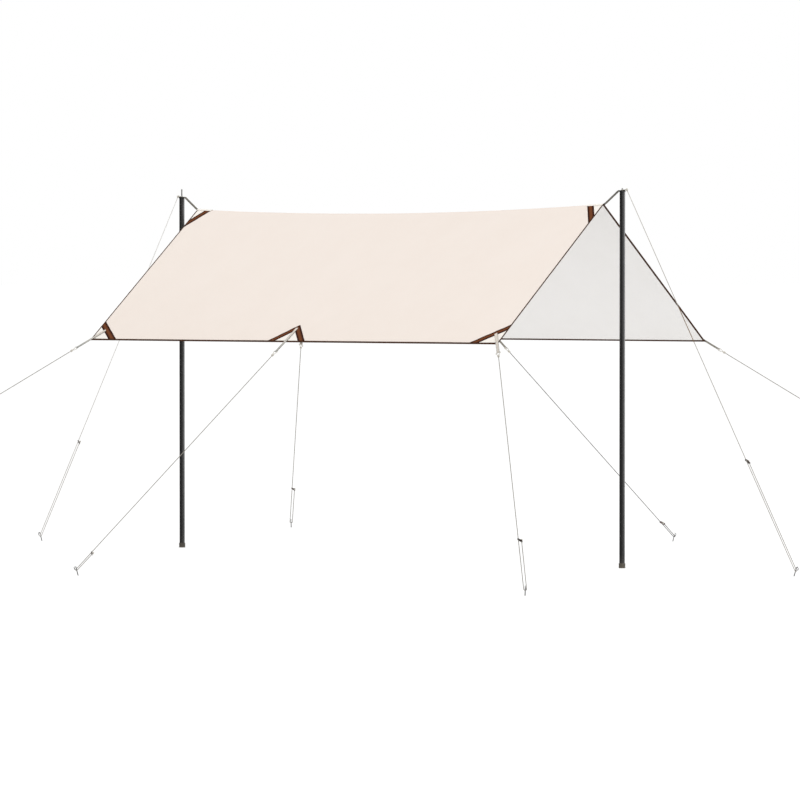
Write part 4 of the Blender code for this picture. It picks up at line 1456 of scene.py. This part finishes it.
@dataclass
class PullStrap:
    """A cream strap folded round its eye, sewn down from inside its brace to the sheet's edge.

    A place on it is (s, n): s from the sheet's edge along the pull, negative on the sheet, and n the
    height above the fold's own middle.
    """

    shape: SheetShape
    layers: Layers
    label: str
    place: Place
    peg_foot: Vector
    slider_place: float
    sewn: float
    finish: WovenWebbing
    width: float = 0.023
    ply: float = 0.0012
    reach: float = 0.115
    bend: float = 0.014
    knot_from_eye: float = 0.044
    knot_radius: float = 0.0085
    eye_bend: float = 0.005
    eye_margin: float = 0.012  # how far before the eye's middle its two plies part
    eye_side: float = 0.001  # how far past each side of the webbing the cord starts to turn
    eye_turn: float = 120.0  # the angle from the eye's far side at which the webbing leaves its round
    eye_steps: int = 20
    probe: float = 0.01  # how far off the sheet's slope is read
    stitch: Stitch = Stitch(0.0035, 0.0008)
    stitch_in: float = 0.0025
    seam_cell: float = 0.004
    box: tuple[float, float, float] = (0.004, 0.034, -0.024)  # two from its sewn end, and one from the edge
    bars: Pair = (0.022, 0.019)  # from the eye's middle

    def __post_init__(self) -> None:
        """Work out the line of the pull and the directions of the strap."""
        self.edge = self.shape.at(*self.place, self.layers.strap_middle)
        aim = Tie(self.label, self.edge, self.peg_foot, self.slider_place)
        self.tie = Tie(self.label, self.edge + aim.run * self.reach, self.peg_foot, self.slider_place)
        normal = self.shape.normal(*self.place)
        run = self.tie.run
        self.lift = (normal - run * normal.dot(run)).normalized()
        self.width_way = self.lift.cross(run).normalized()
        x, c = self.place
        side = math.copysign(1.0, c)
        down = (self.shape.middle(x, c) - self.shape.middle(x, c - side * self.probe)).normalized()
        self.inward = Vector((-run.x, -side * run.dot(down))).normalized()
        self.across = Vector((-self.inward.y, self.inward.x))
        beside = Vector(self.place) + self.across * self.probe
        if (self.shape.middle(*beside) - self.shape.middle(*self.place)).dot(self.width_way) < 0:
            self.across.negate()

    def spot(self, s: float, n: float, aside: float) -> Vector:
        """Find a point of the strap, which lies on the sheet and then turns into the line of the pull.

        Args:
            s: How far along the pull it is.
            n: Its height.
            aside: How far it is from the strap's middle line.

        Returns:
            The point in the frame.
        """
        here = Vector(self.place) - self.inward * s + self.across * aside
        on_cloth = self.shape.at(here.x, here.y, self.layers.strap_middle + n)
        off_cloth = self.edge + self.tie.run * s + self.lift * n + self.width_way * aside
        share = min(max(0.5 + s / self.bend / 2, 0.0), 1.0)
        return on_cloth.lerp(off_cloth, share * share * (3.0 - 2.0 * share))

    def steps(self) -> list[float]:
        """Divide one ply lengthwise.

        Returns:
            Places along the pull: ten steps while it is sewn, eight in the bend, and four up to the eye.
        """
        steps = [-self.sewn + (self.sewn - self.bend) * k / 10 for k in range(11)]
        steps += [self.bend * (k / 4 - 1.0) for k in range(1, 9)]
        return steps + [self.bend + (self.reach - self.eye_margin - self.bend) * k / 4 for k in range(1, 5)]

    def fold_line(self) -> list[tuple[Place, Place]]:
        """Follow both faces of the webbing from one sewn end round the eye to the other.

        Returns:
            Pairs of an inner and an outer place.
        """
        slack, thick = GAP / 2, GAP / 2 + self.ply
        lower = [((s, -slack), (s, -thick)) for s in self.steps()]
        upper = [((s, slack), (s, thick)) for s in reversed(self.steps())]
        inner = self.tie.cord + GAP
        radii, eye = (inner, inner + self.ply), []
        for k in range(self.eye_steps + 1):
            angle = math.radians(2 * self.eye_turn * k / self.eye_steps - self.eye_turn)
            eye.append(tuple((self.reach + r * math.cos(angle), r * math.sin(angle)) for r in radii))
        return lower + eye + upper

    def stitch_line(self, skin: Skin, *corners: Place) -> None:
        """Sew a line over the strap's top.

        Args:
            skin: The skin that gets the stitches.
            corners: The line's corners as (s, aside).
        """
        for start, stop in zip(corners, corners[1:]):
            count = max(round(math.dist(start, stop) / self.seam_cell), 2)
            points = [self.spot(s, GAP / 2 + self.ply, aside) for s, aside in between(start, stop, count)]
            skin.add_stitches(Track(points, [self.lift] * len(points)), self.stitch, 1)

    def build(self) -> None:
        """Make the strap with its sewn box, cross and bars."""
        skin = Skin(f"pull_strap_{self.label}", self.finish, PALE_THREAD, UNDERSIDE_SHADE_WEBBING)
        half = self.width / 2
        flat = half - SOFT
        sections, middles = [], []
        for inner, outer in self.fold_line():
            middle = ((inner[0] + outer[0]) / 2, (inner[1] + outer[1]) / 2)
            sections.append([
                self.spot(*inner, -flat), self.spot(*inner, flat), self.spot(*middle, half),
                self.spot(*outer, flat), self.spot(*outer, -flat), self.spot(*middle, -half),
            ])
            middles.append(middle)
        along = lengths_round(middles)[:-1]
        around = [-flat, flat, half, flat, -flat, -half, -flat]
        skin.add_sweep(sections, [abs(length - along[-1] / 2) for length in along], around)
        lower_cells = len(self.steps()) - 1
        # The lower ply takes the grey webbing: painted shade of the strap's underside.
        skin.refinish(lower_cells * (len(around) - 1), 2)
        side = half - self.stitch_in
        far, cross, near = self.box[0] - self.sewn, self.box[1] - self.sewn, self.box[2]
        box = [(far, -side), (cross, -side), (cross, side), (far, side), (far, -side), (cross, side)]
        self.stitch_line(skin, *box)
        self.stitch_line(skin, (far, side), (cross, -side), (near, -side), (near, side), (cross, side))
        for bar in self.bars:
            self.stitch_line(skin, (self.reach - bar, -side), (self.reach - bar, side))
        skin.make((f"strap_{self.label}",))

    def eye_points(self) -> list[Vector]:
        """Lead the cord through the eye.

        Returns:
            The points of its loop, from inside the knot round to where it leaves it.
        """
        tie, across = self.tie, self.width_way
        bend, straight, twin = self.eye_bend, self.width / 2 + self.eye_side, tie.cord + GAP

        def spot(along: float, aside: float) -> Vector:
            """A point in the plane of the line and the strap's width."""
            return tie.tent + tie.run * along + across * aside

        outer = arc(spot(bend, straight), -tie.run, across, bend, 0, 110, 8)
        inner = arc(spot(bend, -straight), -tie.run, -across, bend, 0, 110, 8)
        middle, neck = self.knot_from_eye, self.knot_from_eye - self.knot_radius
        start = [spot(middle + tie.cord, twin), spot(neck, twin)]
        stop = [spot(neck, -twin), spot(middle, -twin), spot(middle + 2 * self.knot_radius, 0.0)]
        return [*start, *reversed(outer), *inner, *stop]

    def knot(self) -> Vector:
        """Where the knot of the loop sits."""
        return self.tie.tent + self.tie.run * self.knot_from_eye


@dataclass
class HemTies:
    """The six pull straps on the hems with their guy lines."""

    shape: SheetShape
    layers: Layers
    middle_peg: float = 3.22
    middle_slider: float = 0.924
    middle_sewn: float = 0.165
    corner_peg: Place = (3.804, 2.933)
    corner_slider: float = 0.80
    corner_sewn: float = 0.137
    # The straps whose free ends get the full painted shade towards the eye.
    eye_shade: tuple[str, ...] = ("front_left", "front_middle")
    # The lines painted darker as shade, for those that lie in the tent's own shade.
    shaded_lines: tuple[str, ...] = ("back_middle",)

    def build(self) -> None:
        """Make the straps and the guy lines, hem by hem, each from its middle."""
        for slope in Slope:
            sign = slope.value
            foot = Vector((0.0, sign * self.middle_peg, 0.0))
            self.build_tie(slope, "middle", 0.0, foot, self.middle_slider, self.middle_sewn)
            for end in End:
                foot = Vector((end.value * self.corner_peg[0], sign * self.corner_peg[1], 0.0))
                x, label = end.value * self.shape.half, end.name.lower()
                self.build_tie(slope, label, x, foot, self.corner_slider, self.corner_sewn)

    def build_tie(
        self, slope: Slope, label: str, x: float, foot: Vector, slider_place: float, sewn: float
    ) -> None:
        """Make one strap and its guy line.

        Args:
            slope: The slope whose hem it is on.
            label: Its place on that hem as a word.
            x: Its place along the hem.
            foot: Where its peg meets the ground.
            slider_place: The share of the taut run at which the slider sits.
            sewn: How far the strap is sewn down on the sheet.
        """
        name, place = f"{slope.name.lower()}_{label}", (x, slope.value * self.shape.slope)
        webbing = EYE_SHADE_WEBBING if name in self.eye_shade else CREAM_WEBBING
        strap = PullStrap(self.shape, self.layers, name, place, foot, slider_place, sewn, webbing)
        strap.build()
        cord = SHADED_CORD if name in self.shaded_lines else CORD
        GuyLine(strap.tie, strap.eye_points(), strap.knot(), cord).build()


@dataclass
class PoleSet:
    """One pole with its plug, pin and foot, and the strap and cord that its pin holds.

    A corner's rounding is given as points, each as how far in from the side and how far from the end it is.
    """

    shape: SheetShape
    layers: Layers
    end: End
    pin_height: float
    x: float = 2.170
    top: float = 2.656
    radius: float = 0.0195
    wall: float = 0.0012
    sides: int = 48
    cap_head: float = 0.010
    cap_radius: float = 0.0225
    cap_depth: float = 0.030
    cap_lip: float = 0.001
    cap_round: tuple[Place, ...] = ((0.0, 0.0025), (0.0007, 0.0008), (0.0025, 0.0))
    cap_mouth: float = 0.0006
    pin_radius: float = 0.005
    pin_socket: float = 0.020
    pin_sides: int = 32
    pin_tip: float = 0.003  # the height of its rounded tip, and the flat part of that tip's radius
    pin_flat: float = 0.4
    foot_radius: float = 0.0235
    foot_height: float = 0.035
    foot_floor: float = 0.005
    foot_round: tuple[Place, ...] = ((0.0, 0.002), (0.0006, 0.0006), (0.002, 0.0))
    grooves: tuple[float, ...] = (0.009, 0.015, 0.021)
    groove: tuple[Place, ...] = ((0.0, 0.0), (0.0008, 0.0008), (0.0008, 0.0018), (0.0, 0.0026))
    strap_width: float = 0.028
    strap_ply: float = 0.0016
    strap_sewn: float = 0.150
    strap_short: float = 0.002  # how far inside the sheet's edge the sewn part stops
    strap_leave: Place = (0.020, 0.012)  # outward and up from the sheet's edge
    strap_rise: tuple[Place, ...] = ((-0.052, -0.0165), (-0.036, -0.0045))  # from the pole's middle and top
    strap_tab: tuple[float, ...] = (-0.026, -0.010, 0.010)  # from the pole's middle, level on its top
    strap_shares: tuple[float, ...] = (-1.0, -0.96, -0.55, -0.2, 0.0, 0.2, 0.55, 0.96, 1.0)
    strap_cells: int = 12
    strap_flattens: float = 0.11  # how far from the sheet's edge it has lost the sheet's curve
    tab_reach: float = 0.030
    stitch: Stitch = Stitch(0.0035, 0.0008)
    stitch_in: float = 0.003
    box: Pair = (0.003, 0.035)  # from the strap's sewn end
    bars: Pair = (0.022, 0.019)  # from the sheet's edge
    knot_radius: float = 0.0085
    neck_gap: float = 0.002
    cord: float = 0.0025
    peg_x: float = 3.700
    slider_place: float = 0.716

    @property
    def label(self) -> str:
        """The pole's side as a word."""
        return self.end.name.lower()

    @property
    def place(self) -> Vector:
        """Where the pole stands."""
        return Vector((self.end.value * self.x, 0.0, 0.0))

    def turn(
        self, name: str, node: str, slot: str, finish: Finish, profile: list[Place], sides: int, crease: float
    ) -> None:
        """Make one turned piece round the pole's middle line.

        Args:
            name: The piece's name without the pole's side.
            node: The name of the node that it stands for, without the pole's side.
            slot: The record's material slot. It is not used.
            finish: Its finish.
            profile: Its closed profile of (radius, height) points.
            sides: How many sides it has round.
            crease: The angle in degrees from which an edge stays sharp.
        """
        skin = Skin(f"{name}_{self.label}", finish)
        skin.add_turned(self.place, profile, sides)
        skin.make((f"{node}_{self.label}",), crease=crease)

    def build_tube(self) -> None:
        """Make the tube, plug, pin and foot."""
        radius, bore, top = self.radius, self.radius - self.wall, self.top
        neck = top - self.cap_head
        low, high = self.foot_floor + GAP, neck - GAP
        tube = [(bore, low), (radius - SOFT, low), (radius, low + SOFT)]
        tube += [(radius, high - SOFT), (radius - SOFT, high), (bore, high)]
        self.turn("pole_tube", "pole", "black_paint", POLE_PAINT, tube, self.sides, 30.0)

        head, hole, plug = self.cap_radius, self.pin_radius + GAP, neck - self.cap_depth
        cap = [(0.0, plug), (bore - GAP, plug), (bore - GAP, neck), (head - self.cap_lip, neck)]
        cap += [(head, neck + self.cap_lip), *((head - inset, top - drop) for inset, drop in self.cap_round)]
        cap += [(hole + self.cap_mouth, top), (hole, top - self.cap_mouth)]
        cap += [(hole, top - self.pin_socket), (0.0, top - self.pin_socket)]
        self.turn("pole_plug", "pole_cap", "black_plastic", CAP_PLASTIC, cap, self.sides, 35.0)

        low, tip = top - self.pin_socket + GAP, top + self.pin_height
        across, flat = self.pin_radius, self.pin_flat
        pin = [(0.0, low), (across, low), (across, tip - self.pin_tip)]
        for angle in (math.radians(30.0), math.radians(60.0)):
            inward = across * (flat + (1.0 - flat) * math.cos(angle))
            pin.append((inward, tip - self.pin_tip + self.pin_tip * math.sin(angle)))
        pin += [(flat * across, tip), (0.0, tip)]
        self.turn("pole_pin_rod", "pole_pin", "bright_steel", PIN_STEEL, pin, self.pin_sides, 40.0)

        sleeve, outer, height = radius + GAP, self.foot_radius, self.foot_height
        foot = [(0.0, 0.0), *((outer - inset, rise) for inset, rise in reversed(self.foot_round))]
        foot += [(outer - inset, level + rise) for level in self.grooves for inset, rise in self.groove]
        foot += [(outer - inset, height - drop) for inset, drop in self.foot_round]
        foot += [(sleeve, height), (sleeve, self.foot_floor), (0.0, self.foot_floor)]
        self.turn("pole_foot_boot", "pole_foot", "foot_rubber", FOOT_RUBBER, foot, self.sides, 30.0)

    def strap_sections(self) -> tuple[list[list[Vector]], list[float]]:
        """Lead the ridge strap from where it is sewn on the sheet to the tab round the pin.

        Returns:
            Its closed sections, and how far along it each one lies from the sheet's edge.
        """
        shape, sign, ply = self.shape, self.end.value, self.strap_ply
        low, tab_z, edge_x = self.layers.ridge_strap_bottom, self.top + GAP, self.shape.half
        offsets = [self.strap_width / 2 * share for share in self.strap_shares]
        sections, along = [], []
        for k in range(self.strap_cells + 1):
            x = edge_x - self.strap_sewn * (1.0 - k / self.strap_cells) - self.strap_short
            lower = [shape.at(sign * x, offset, low) for offset in offsets]
            upper = [shape.at(sign * x, offset, low + ply) for offset in offsets]
            sections.append([*lower, *reversed(upper)])
            along.append(x - edge_x)
        drape = [point.z - sections[-1][len(offsets) // 2].z for point in sections[-1][:len(offsets)]]
        leave = shape.middle(edge_x, 0.0).z + low
        free = [(edge_x + self.strap_leave[0], leave + self.strap_leave[1])]
        free += [(self.x + beside, tab_z + rise) for beside, rise in self.strap_rise]
        free += [(self.x + beside, tab_z) for beside in (*self.strap_tab, self.tab_reach)]
        before = Vector((edge_x - self.strap_short, leave))
        for x, z in free:
            fade = max(0.0, 1.0 - (x - edge_x) / self.strap_flattens)
            along.append(along[-1] + (Vector((x, z)) - before).length)
            before = Vector((x, z))
            heights = [z + hang * fade for hang in drape]
            lower = [Vector((sign * x, *spot)) for spot in zip(offsets, heights)]
            upper = [Vector((sign * x, offset, height + ply)) for offset, height in zip(offsets, heights)]
            sections.append([*lower, *reversed(upper)])
        return sections, along

    def build_strap(self) -> None:
        """Make the strap from the ridge to the pole's pin, with its hole and its stitches."""
        sign, half, edge_x = self.end.value, self.strap_width / 2, self.shape.half
        across = [half * share for share in self.strap_shares]
        around = [*across, *reversed(across), across[0]]
        skin = Skin(f"ridge_strap_{self.label}", GREY_WEBBING, PALE_THREAD, CLOTH_DOUBLED)
        skin.add_sweep(*self.strap_sections(), around)
        skin.refinish((len(around) - 1) * self.strap_cells, 2)
        side = half - self.stitch_in
        far, near = (edge_x - self.strap_sewn + inset for inset in self.box)
        seams = [((far, -side), (near, -side)), ((far, side), (near, side)), ((far, -side), (far, side))]
        seams += [((near, -side), (near, side)), ((far, -side), (near, side)), ((far, side), (near, -side))]
        seams += [((edge_x - bar, -side), (edge_x - bar, side)) for bar in self.bars]
        for start, stop in seams:
            line = [(sign * x, c) for x, c in between(start, stop, 8)]
            top = self.layers.ridge_strap_bottom + self.strap_ply
            skin.add_stitches(self.shape.track(line, top), self.stitch, 1)
        strap = skin.make((f"strap_ridge_{self.label}",))
        self.punch(strap, Vector((sign * self.x, 0.0, self.top + GAP)))

    def punch(self, strap: Piece, place: Vector) -> None:
        """Cut the pin's hole through the strap.

        Args:
            strap: The strap's piece.
            place: The hole's middle.
        """
        mesh = bpy.data.meshes.new("pin_hole")
        radius, depth = self.pin_radius + GAP, 10 * self.strap_ply
        with edited(mesh) as bm:
            bmesh.ops.create_cone(
                bm, cap_ends=True, segments=self.pin_sides, radius1=radius, radius2=radius, depth=depth
            )
            bmesh.ops.translate(bm, verts=bm.verts, vec=place)
        drill = link("pin_hole", mesh)
        modifier = strap.modifiers.new("Pin hole", "BOOLEAN")
        modifier.operation = "DIFFERENCE"
        modifier.solver = "EXACT"
        modifier.object = drill
        graph = bpy.context.evaluated_depsgraph_get()
        cut = bpy.data.meshes.new_from_object(strap.evaluated_get(graph))
        strap.modifiers.clear()
        strap.data = cut
        bpy.data.objects.remove(drill, do_unlink=True)

    def tie(self) -> Tie:
        """The tie of the pole's guy line, which starts in the knot beyond the pin."""
        peg_foot = Vector((self.end.value * self.peg_x, 0.0, 0.0))
        return Tie(f"pole_{self.label}", self.knot(), peg_foot, self.slider_place)

    def loop_height(self) -> float:
        """The height of the middle of the cord that goes round the pin."""
        return self.top + self.strap_ply + 2 * GAP + self.cord

    def neck(self) -> float:
        """How far from the pin's middle the two strands of its loop meet."""
        return self.tab_reach + self.neck_gap

    def knot(self) -> Vector:
        """Where the knot of the cord's loop sits."""
        reach = self.x + self.neck() + self.knot_radius
        return Vector((self.end.value * reach, 0.0, self.loop_height()))

    def loop_points(self) -> list[Vector]:
        """Lead the cord round the pin.

        Returns:
            The points of its loop, from inside the knot round to where it leaves it.
        """
        tie = self.tie()
        outward, side = Vector((float(self.end.value), 0.0, 0.0)), tie.side
        centre = self.place + UP * self.loop_height()
        twin = tie.cord + GAP
        ring = arc(centre, outward, side, self.pin_radius + GAP + tie.cord, 70, 290, 16)
        near, far = self.neck(), self.neck() + self.knot_radius
        start = [centre + outward * (far + tie.cord) + side * twin, centre + outward * near + side * twin]
        stop = [centre + outward * near - side * twin, centre + outward * far - side * twin]
        return [*start, *ring, *stop, tie.tent + tie.run * self.knot_radius]

    def build(self) -> None:
        """Make the pole, its strap and its guy line."""
        self.build_tube()
        self.build_strap()
        finish = WHITENED_CORD if self.end is End.LEFT else BLEACHED_CORD
        GuyLine(self.tie(), self.loop_points(), self.knot(), finish).build()


@dataclass
class Studio:
    """The camera at the photograph's view, a pale floor and soft light."""

    azimuth: float = math.radians(42.2694)
    distance: float = 38.6416
    height: float = 2.01245
    pitch: float = math.radians(1.27711)
    yaw: float = math.radians(-0.06705)
    focal_pixels: float = 5289.72
    frame_pixels: float = 800.0
    sensor_mm: float = 36.0
    clip_start: float = 0.5
    floor_half: float = 2500.0
    floor_drop: float = 0.0005
    sky: float = 0.76
    sky_side: float = 0.20
    softbox: float = math.radians(-50.0)
    softbox_edge: Pair = (0.2, 0.85)  # the cosines of the angles at which it fades in and is full
    gloss_dim: float = 0.22
    gloss_bright: float = 2.3
    top_place: tuple[float, float, float] = (8.0, -16.0, 36.0)
    top_size: Pair = (19.0, 19.0)
    top_watts: float = 4650.0
    side_reach: float = 7.5
    side_height: float = 2.6
    side_size: Pair = (8.0, 5.0)
    side_watts: float = 380.0

    @property
    def right(self) -> Vector:
        """The level direction that is to the right in the photograph."""
        return Vector((math.cos(self.azimuth), math.sin(self.azimuth), 0.0))

    def build_camera(self) -> None:
        """Stand the camera where the photograph was taken from."""
        data = bpy.data.cameras.new("camera")
        data.sensor_width = self.sensor_mm
        data.lens = self.focal_pixels * self.sensor_mm / self.frame_pixels
        data.clip_start = self.clip_start
        data.clip_end = 4 * self.floor_half
        camera = link("camera", data)
        turn = self.azimuth + self.yaw
        level = math.cos(self.pitch)
        forward = Vector((-math.sin(turn) * level, math.cos(turn) * level, -math.sin(self.pitch)))
        side = Vector((math.sin(self.azimuth), -math.cos(self.azimuth), 0.0))
        camera.location = side * self.distance + UP * self.height
        camera.rotation_mode = "QUATERNION"
        camera.rotation_quaternion = forward.to_track_quat("-Z", "Y")
        bpy.context.scene.camera = camera

    def build_floor(self) -> None:
        """Lay the floor panel."""
        half = self.floor_half
        mesh = bpy.data.meshes.new("studio_floor")
        corners = [(-half, -half), (half, -half), (half, half), (-half, half)]
        mesh.from_pydata([(x, y, -self.floor_drop) for x, y in corners], [], [(0, 1, 2, 3)])
        mesh.materials.append(FLOOR_PANEL.material())
        floor = link("studio_floor", mesh)

    def build_light(self) -> None:
        """Light the scene from a white sky that is brighter on the right, and two large soft lamps."""
        world = bpy.data.worlds.new("studio")
        bpy.context.scene.world = world
        world.use_nodes = True
        tree = world.node_tree
        tree.nodes.clear()
        where = add_node(tree, "TexCoord", {}).outputs["Generated"]
        turn = self.azimuth - self.softbox
        softbox = (math.sin(turn), -math.cos(turn), 0.0)
        lean, facing = (
            add_node(tree, "VectorMath", {0: where, 1: way}, operation="DOT_PRODUCT").outputs["Value"]
            for way in (self.right, softbox)
        )
        dark, bright = self.sky - self.sky_side, self.sky + self.sky_side
        shade = add_node(tree, "MapRange", {0: lean, 1: -1.0, 2: 1.0, 3: dark, 4: bright})
        start, full = self.softbox_edge
        inputs = {0: facing, 1: start, 2: full, 3: self.gloss_dim, 4: self.gloss_bright}
        mirrored = add_node(tree, "MapRange", inputs)
        path = add_node(tree, "LightPath", {}).outputs
        lit = add_node(tree, "Mix", {0: path["Is Glossy Ray"], 2: shade, 3: mirrored})
        strength = add_node(tree, "Mix", {0: path["Is Camera Ray"], 2: lit, 3: 1.0})
        glow = add_node(tree, "Background", {"Color": linear("ffffff"), "Strength": strength})
        add_node(tree, "OutputWorld", {"Surface": glow}, is_active_output=True)
        self.build_lamp("top_lamp", Vector(self.top_place), UP, self.top_size, self.top_watts)
        target = UP * self.side_height
        strip = self.build_lamp(
            "side_lamp", self.right * self.side_reach + target, target, self.side_size, self.side_watts
        )
        strip.visible_diffuse = False

    def build_lamp(self, name: str, place: Vector, target: Vector, size: Pair, watts: float) -> Piece:
        """Hang one soft lamp.

        Args:
            name: The lamp's name.
            place: Where its middle hangs.
            target: The point that it faces.
            size: Its width and height, in metres.
            watts: Its power.

        Returns:
            The lamp.
        """
        data = bpy.data.lights.new(name, "AREA")
        data.shape = "RECTANGLE"
        data.size, data.size_y = size
        data.energy = watts
        lamp = link(name, data)
        lamp.location = place
        lamp.rotation_mode = "QUATERNION"
        lamp.rotation_quaternion = (target - place).to_track_quat("-Z", "Y")
        return lamp

    def build(self) -> None:
        """Set up the studio, with whites and colours shown as they are."""
        bpy.context.scene.view_settings.view_transform = "Standard"
        self.build_camera()
        self.build_floor()
        self.build_light()


# How far each pole's pin shows above its plug.
PIN_HEIGHTS = {End.LEFT: 0.060, End.RIGHT: 0.016}


def main() -> None:
    """Dress the whole canopy and set up the studio."""
    logging.basicConfig(level=logging.INFO, format="%(name)s: %(message)s")
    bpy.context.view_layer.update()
    shape, layers = SheetShape(), Layers()
    canopy = Canopy(shape, layers)
    sheet = canopy.build()
    sewn = [canopy.build_seam(), EdgeBinding(shape, layers).build(), *BraceSet(shape, layers).build()]
    HemTies(shape, layers).build()
    for end, pin_height in PIN_HEIGHTS.items():
        PoleSet(shape, layers, end, pin_height).build()
    Studio().build()


if __name__ == "__main__":
    main()
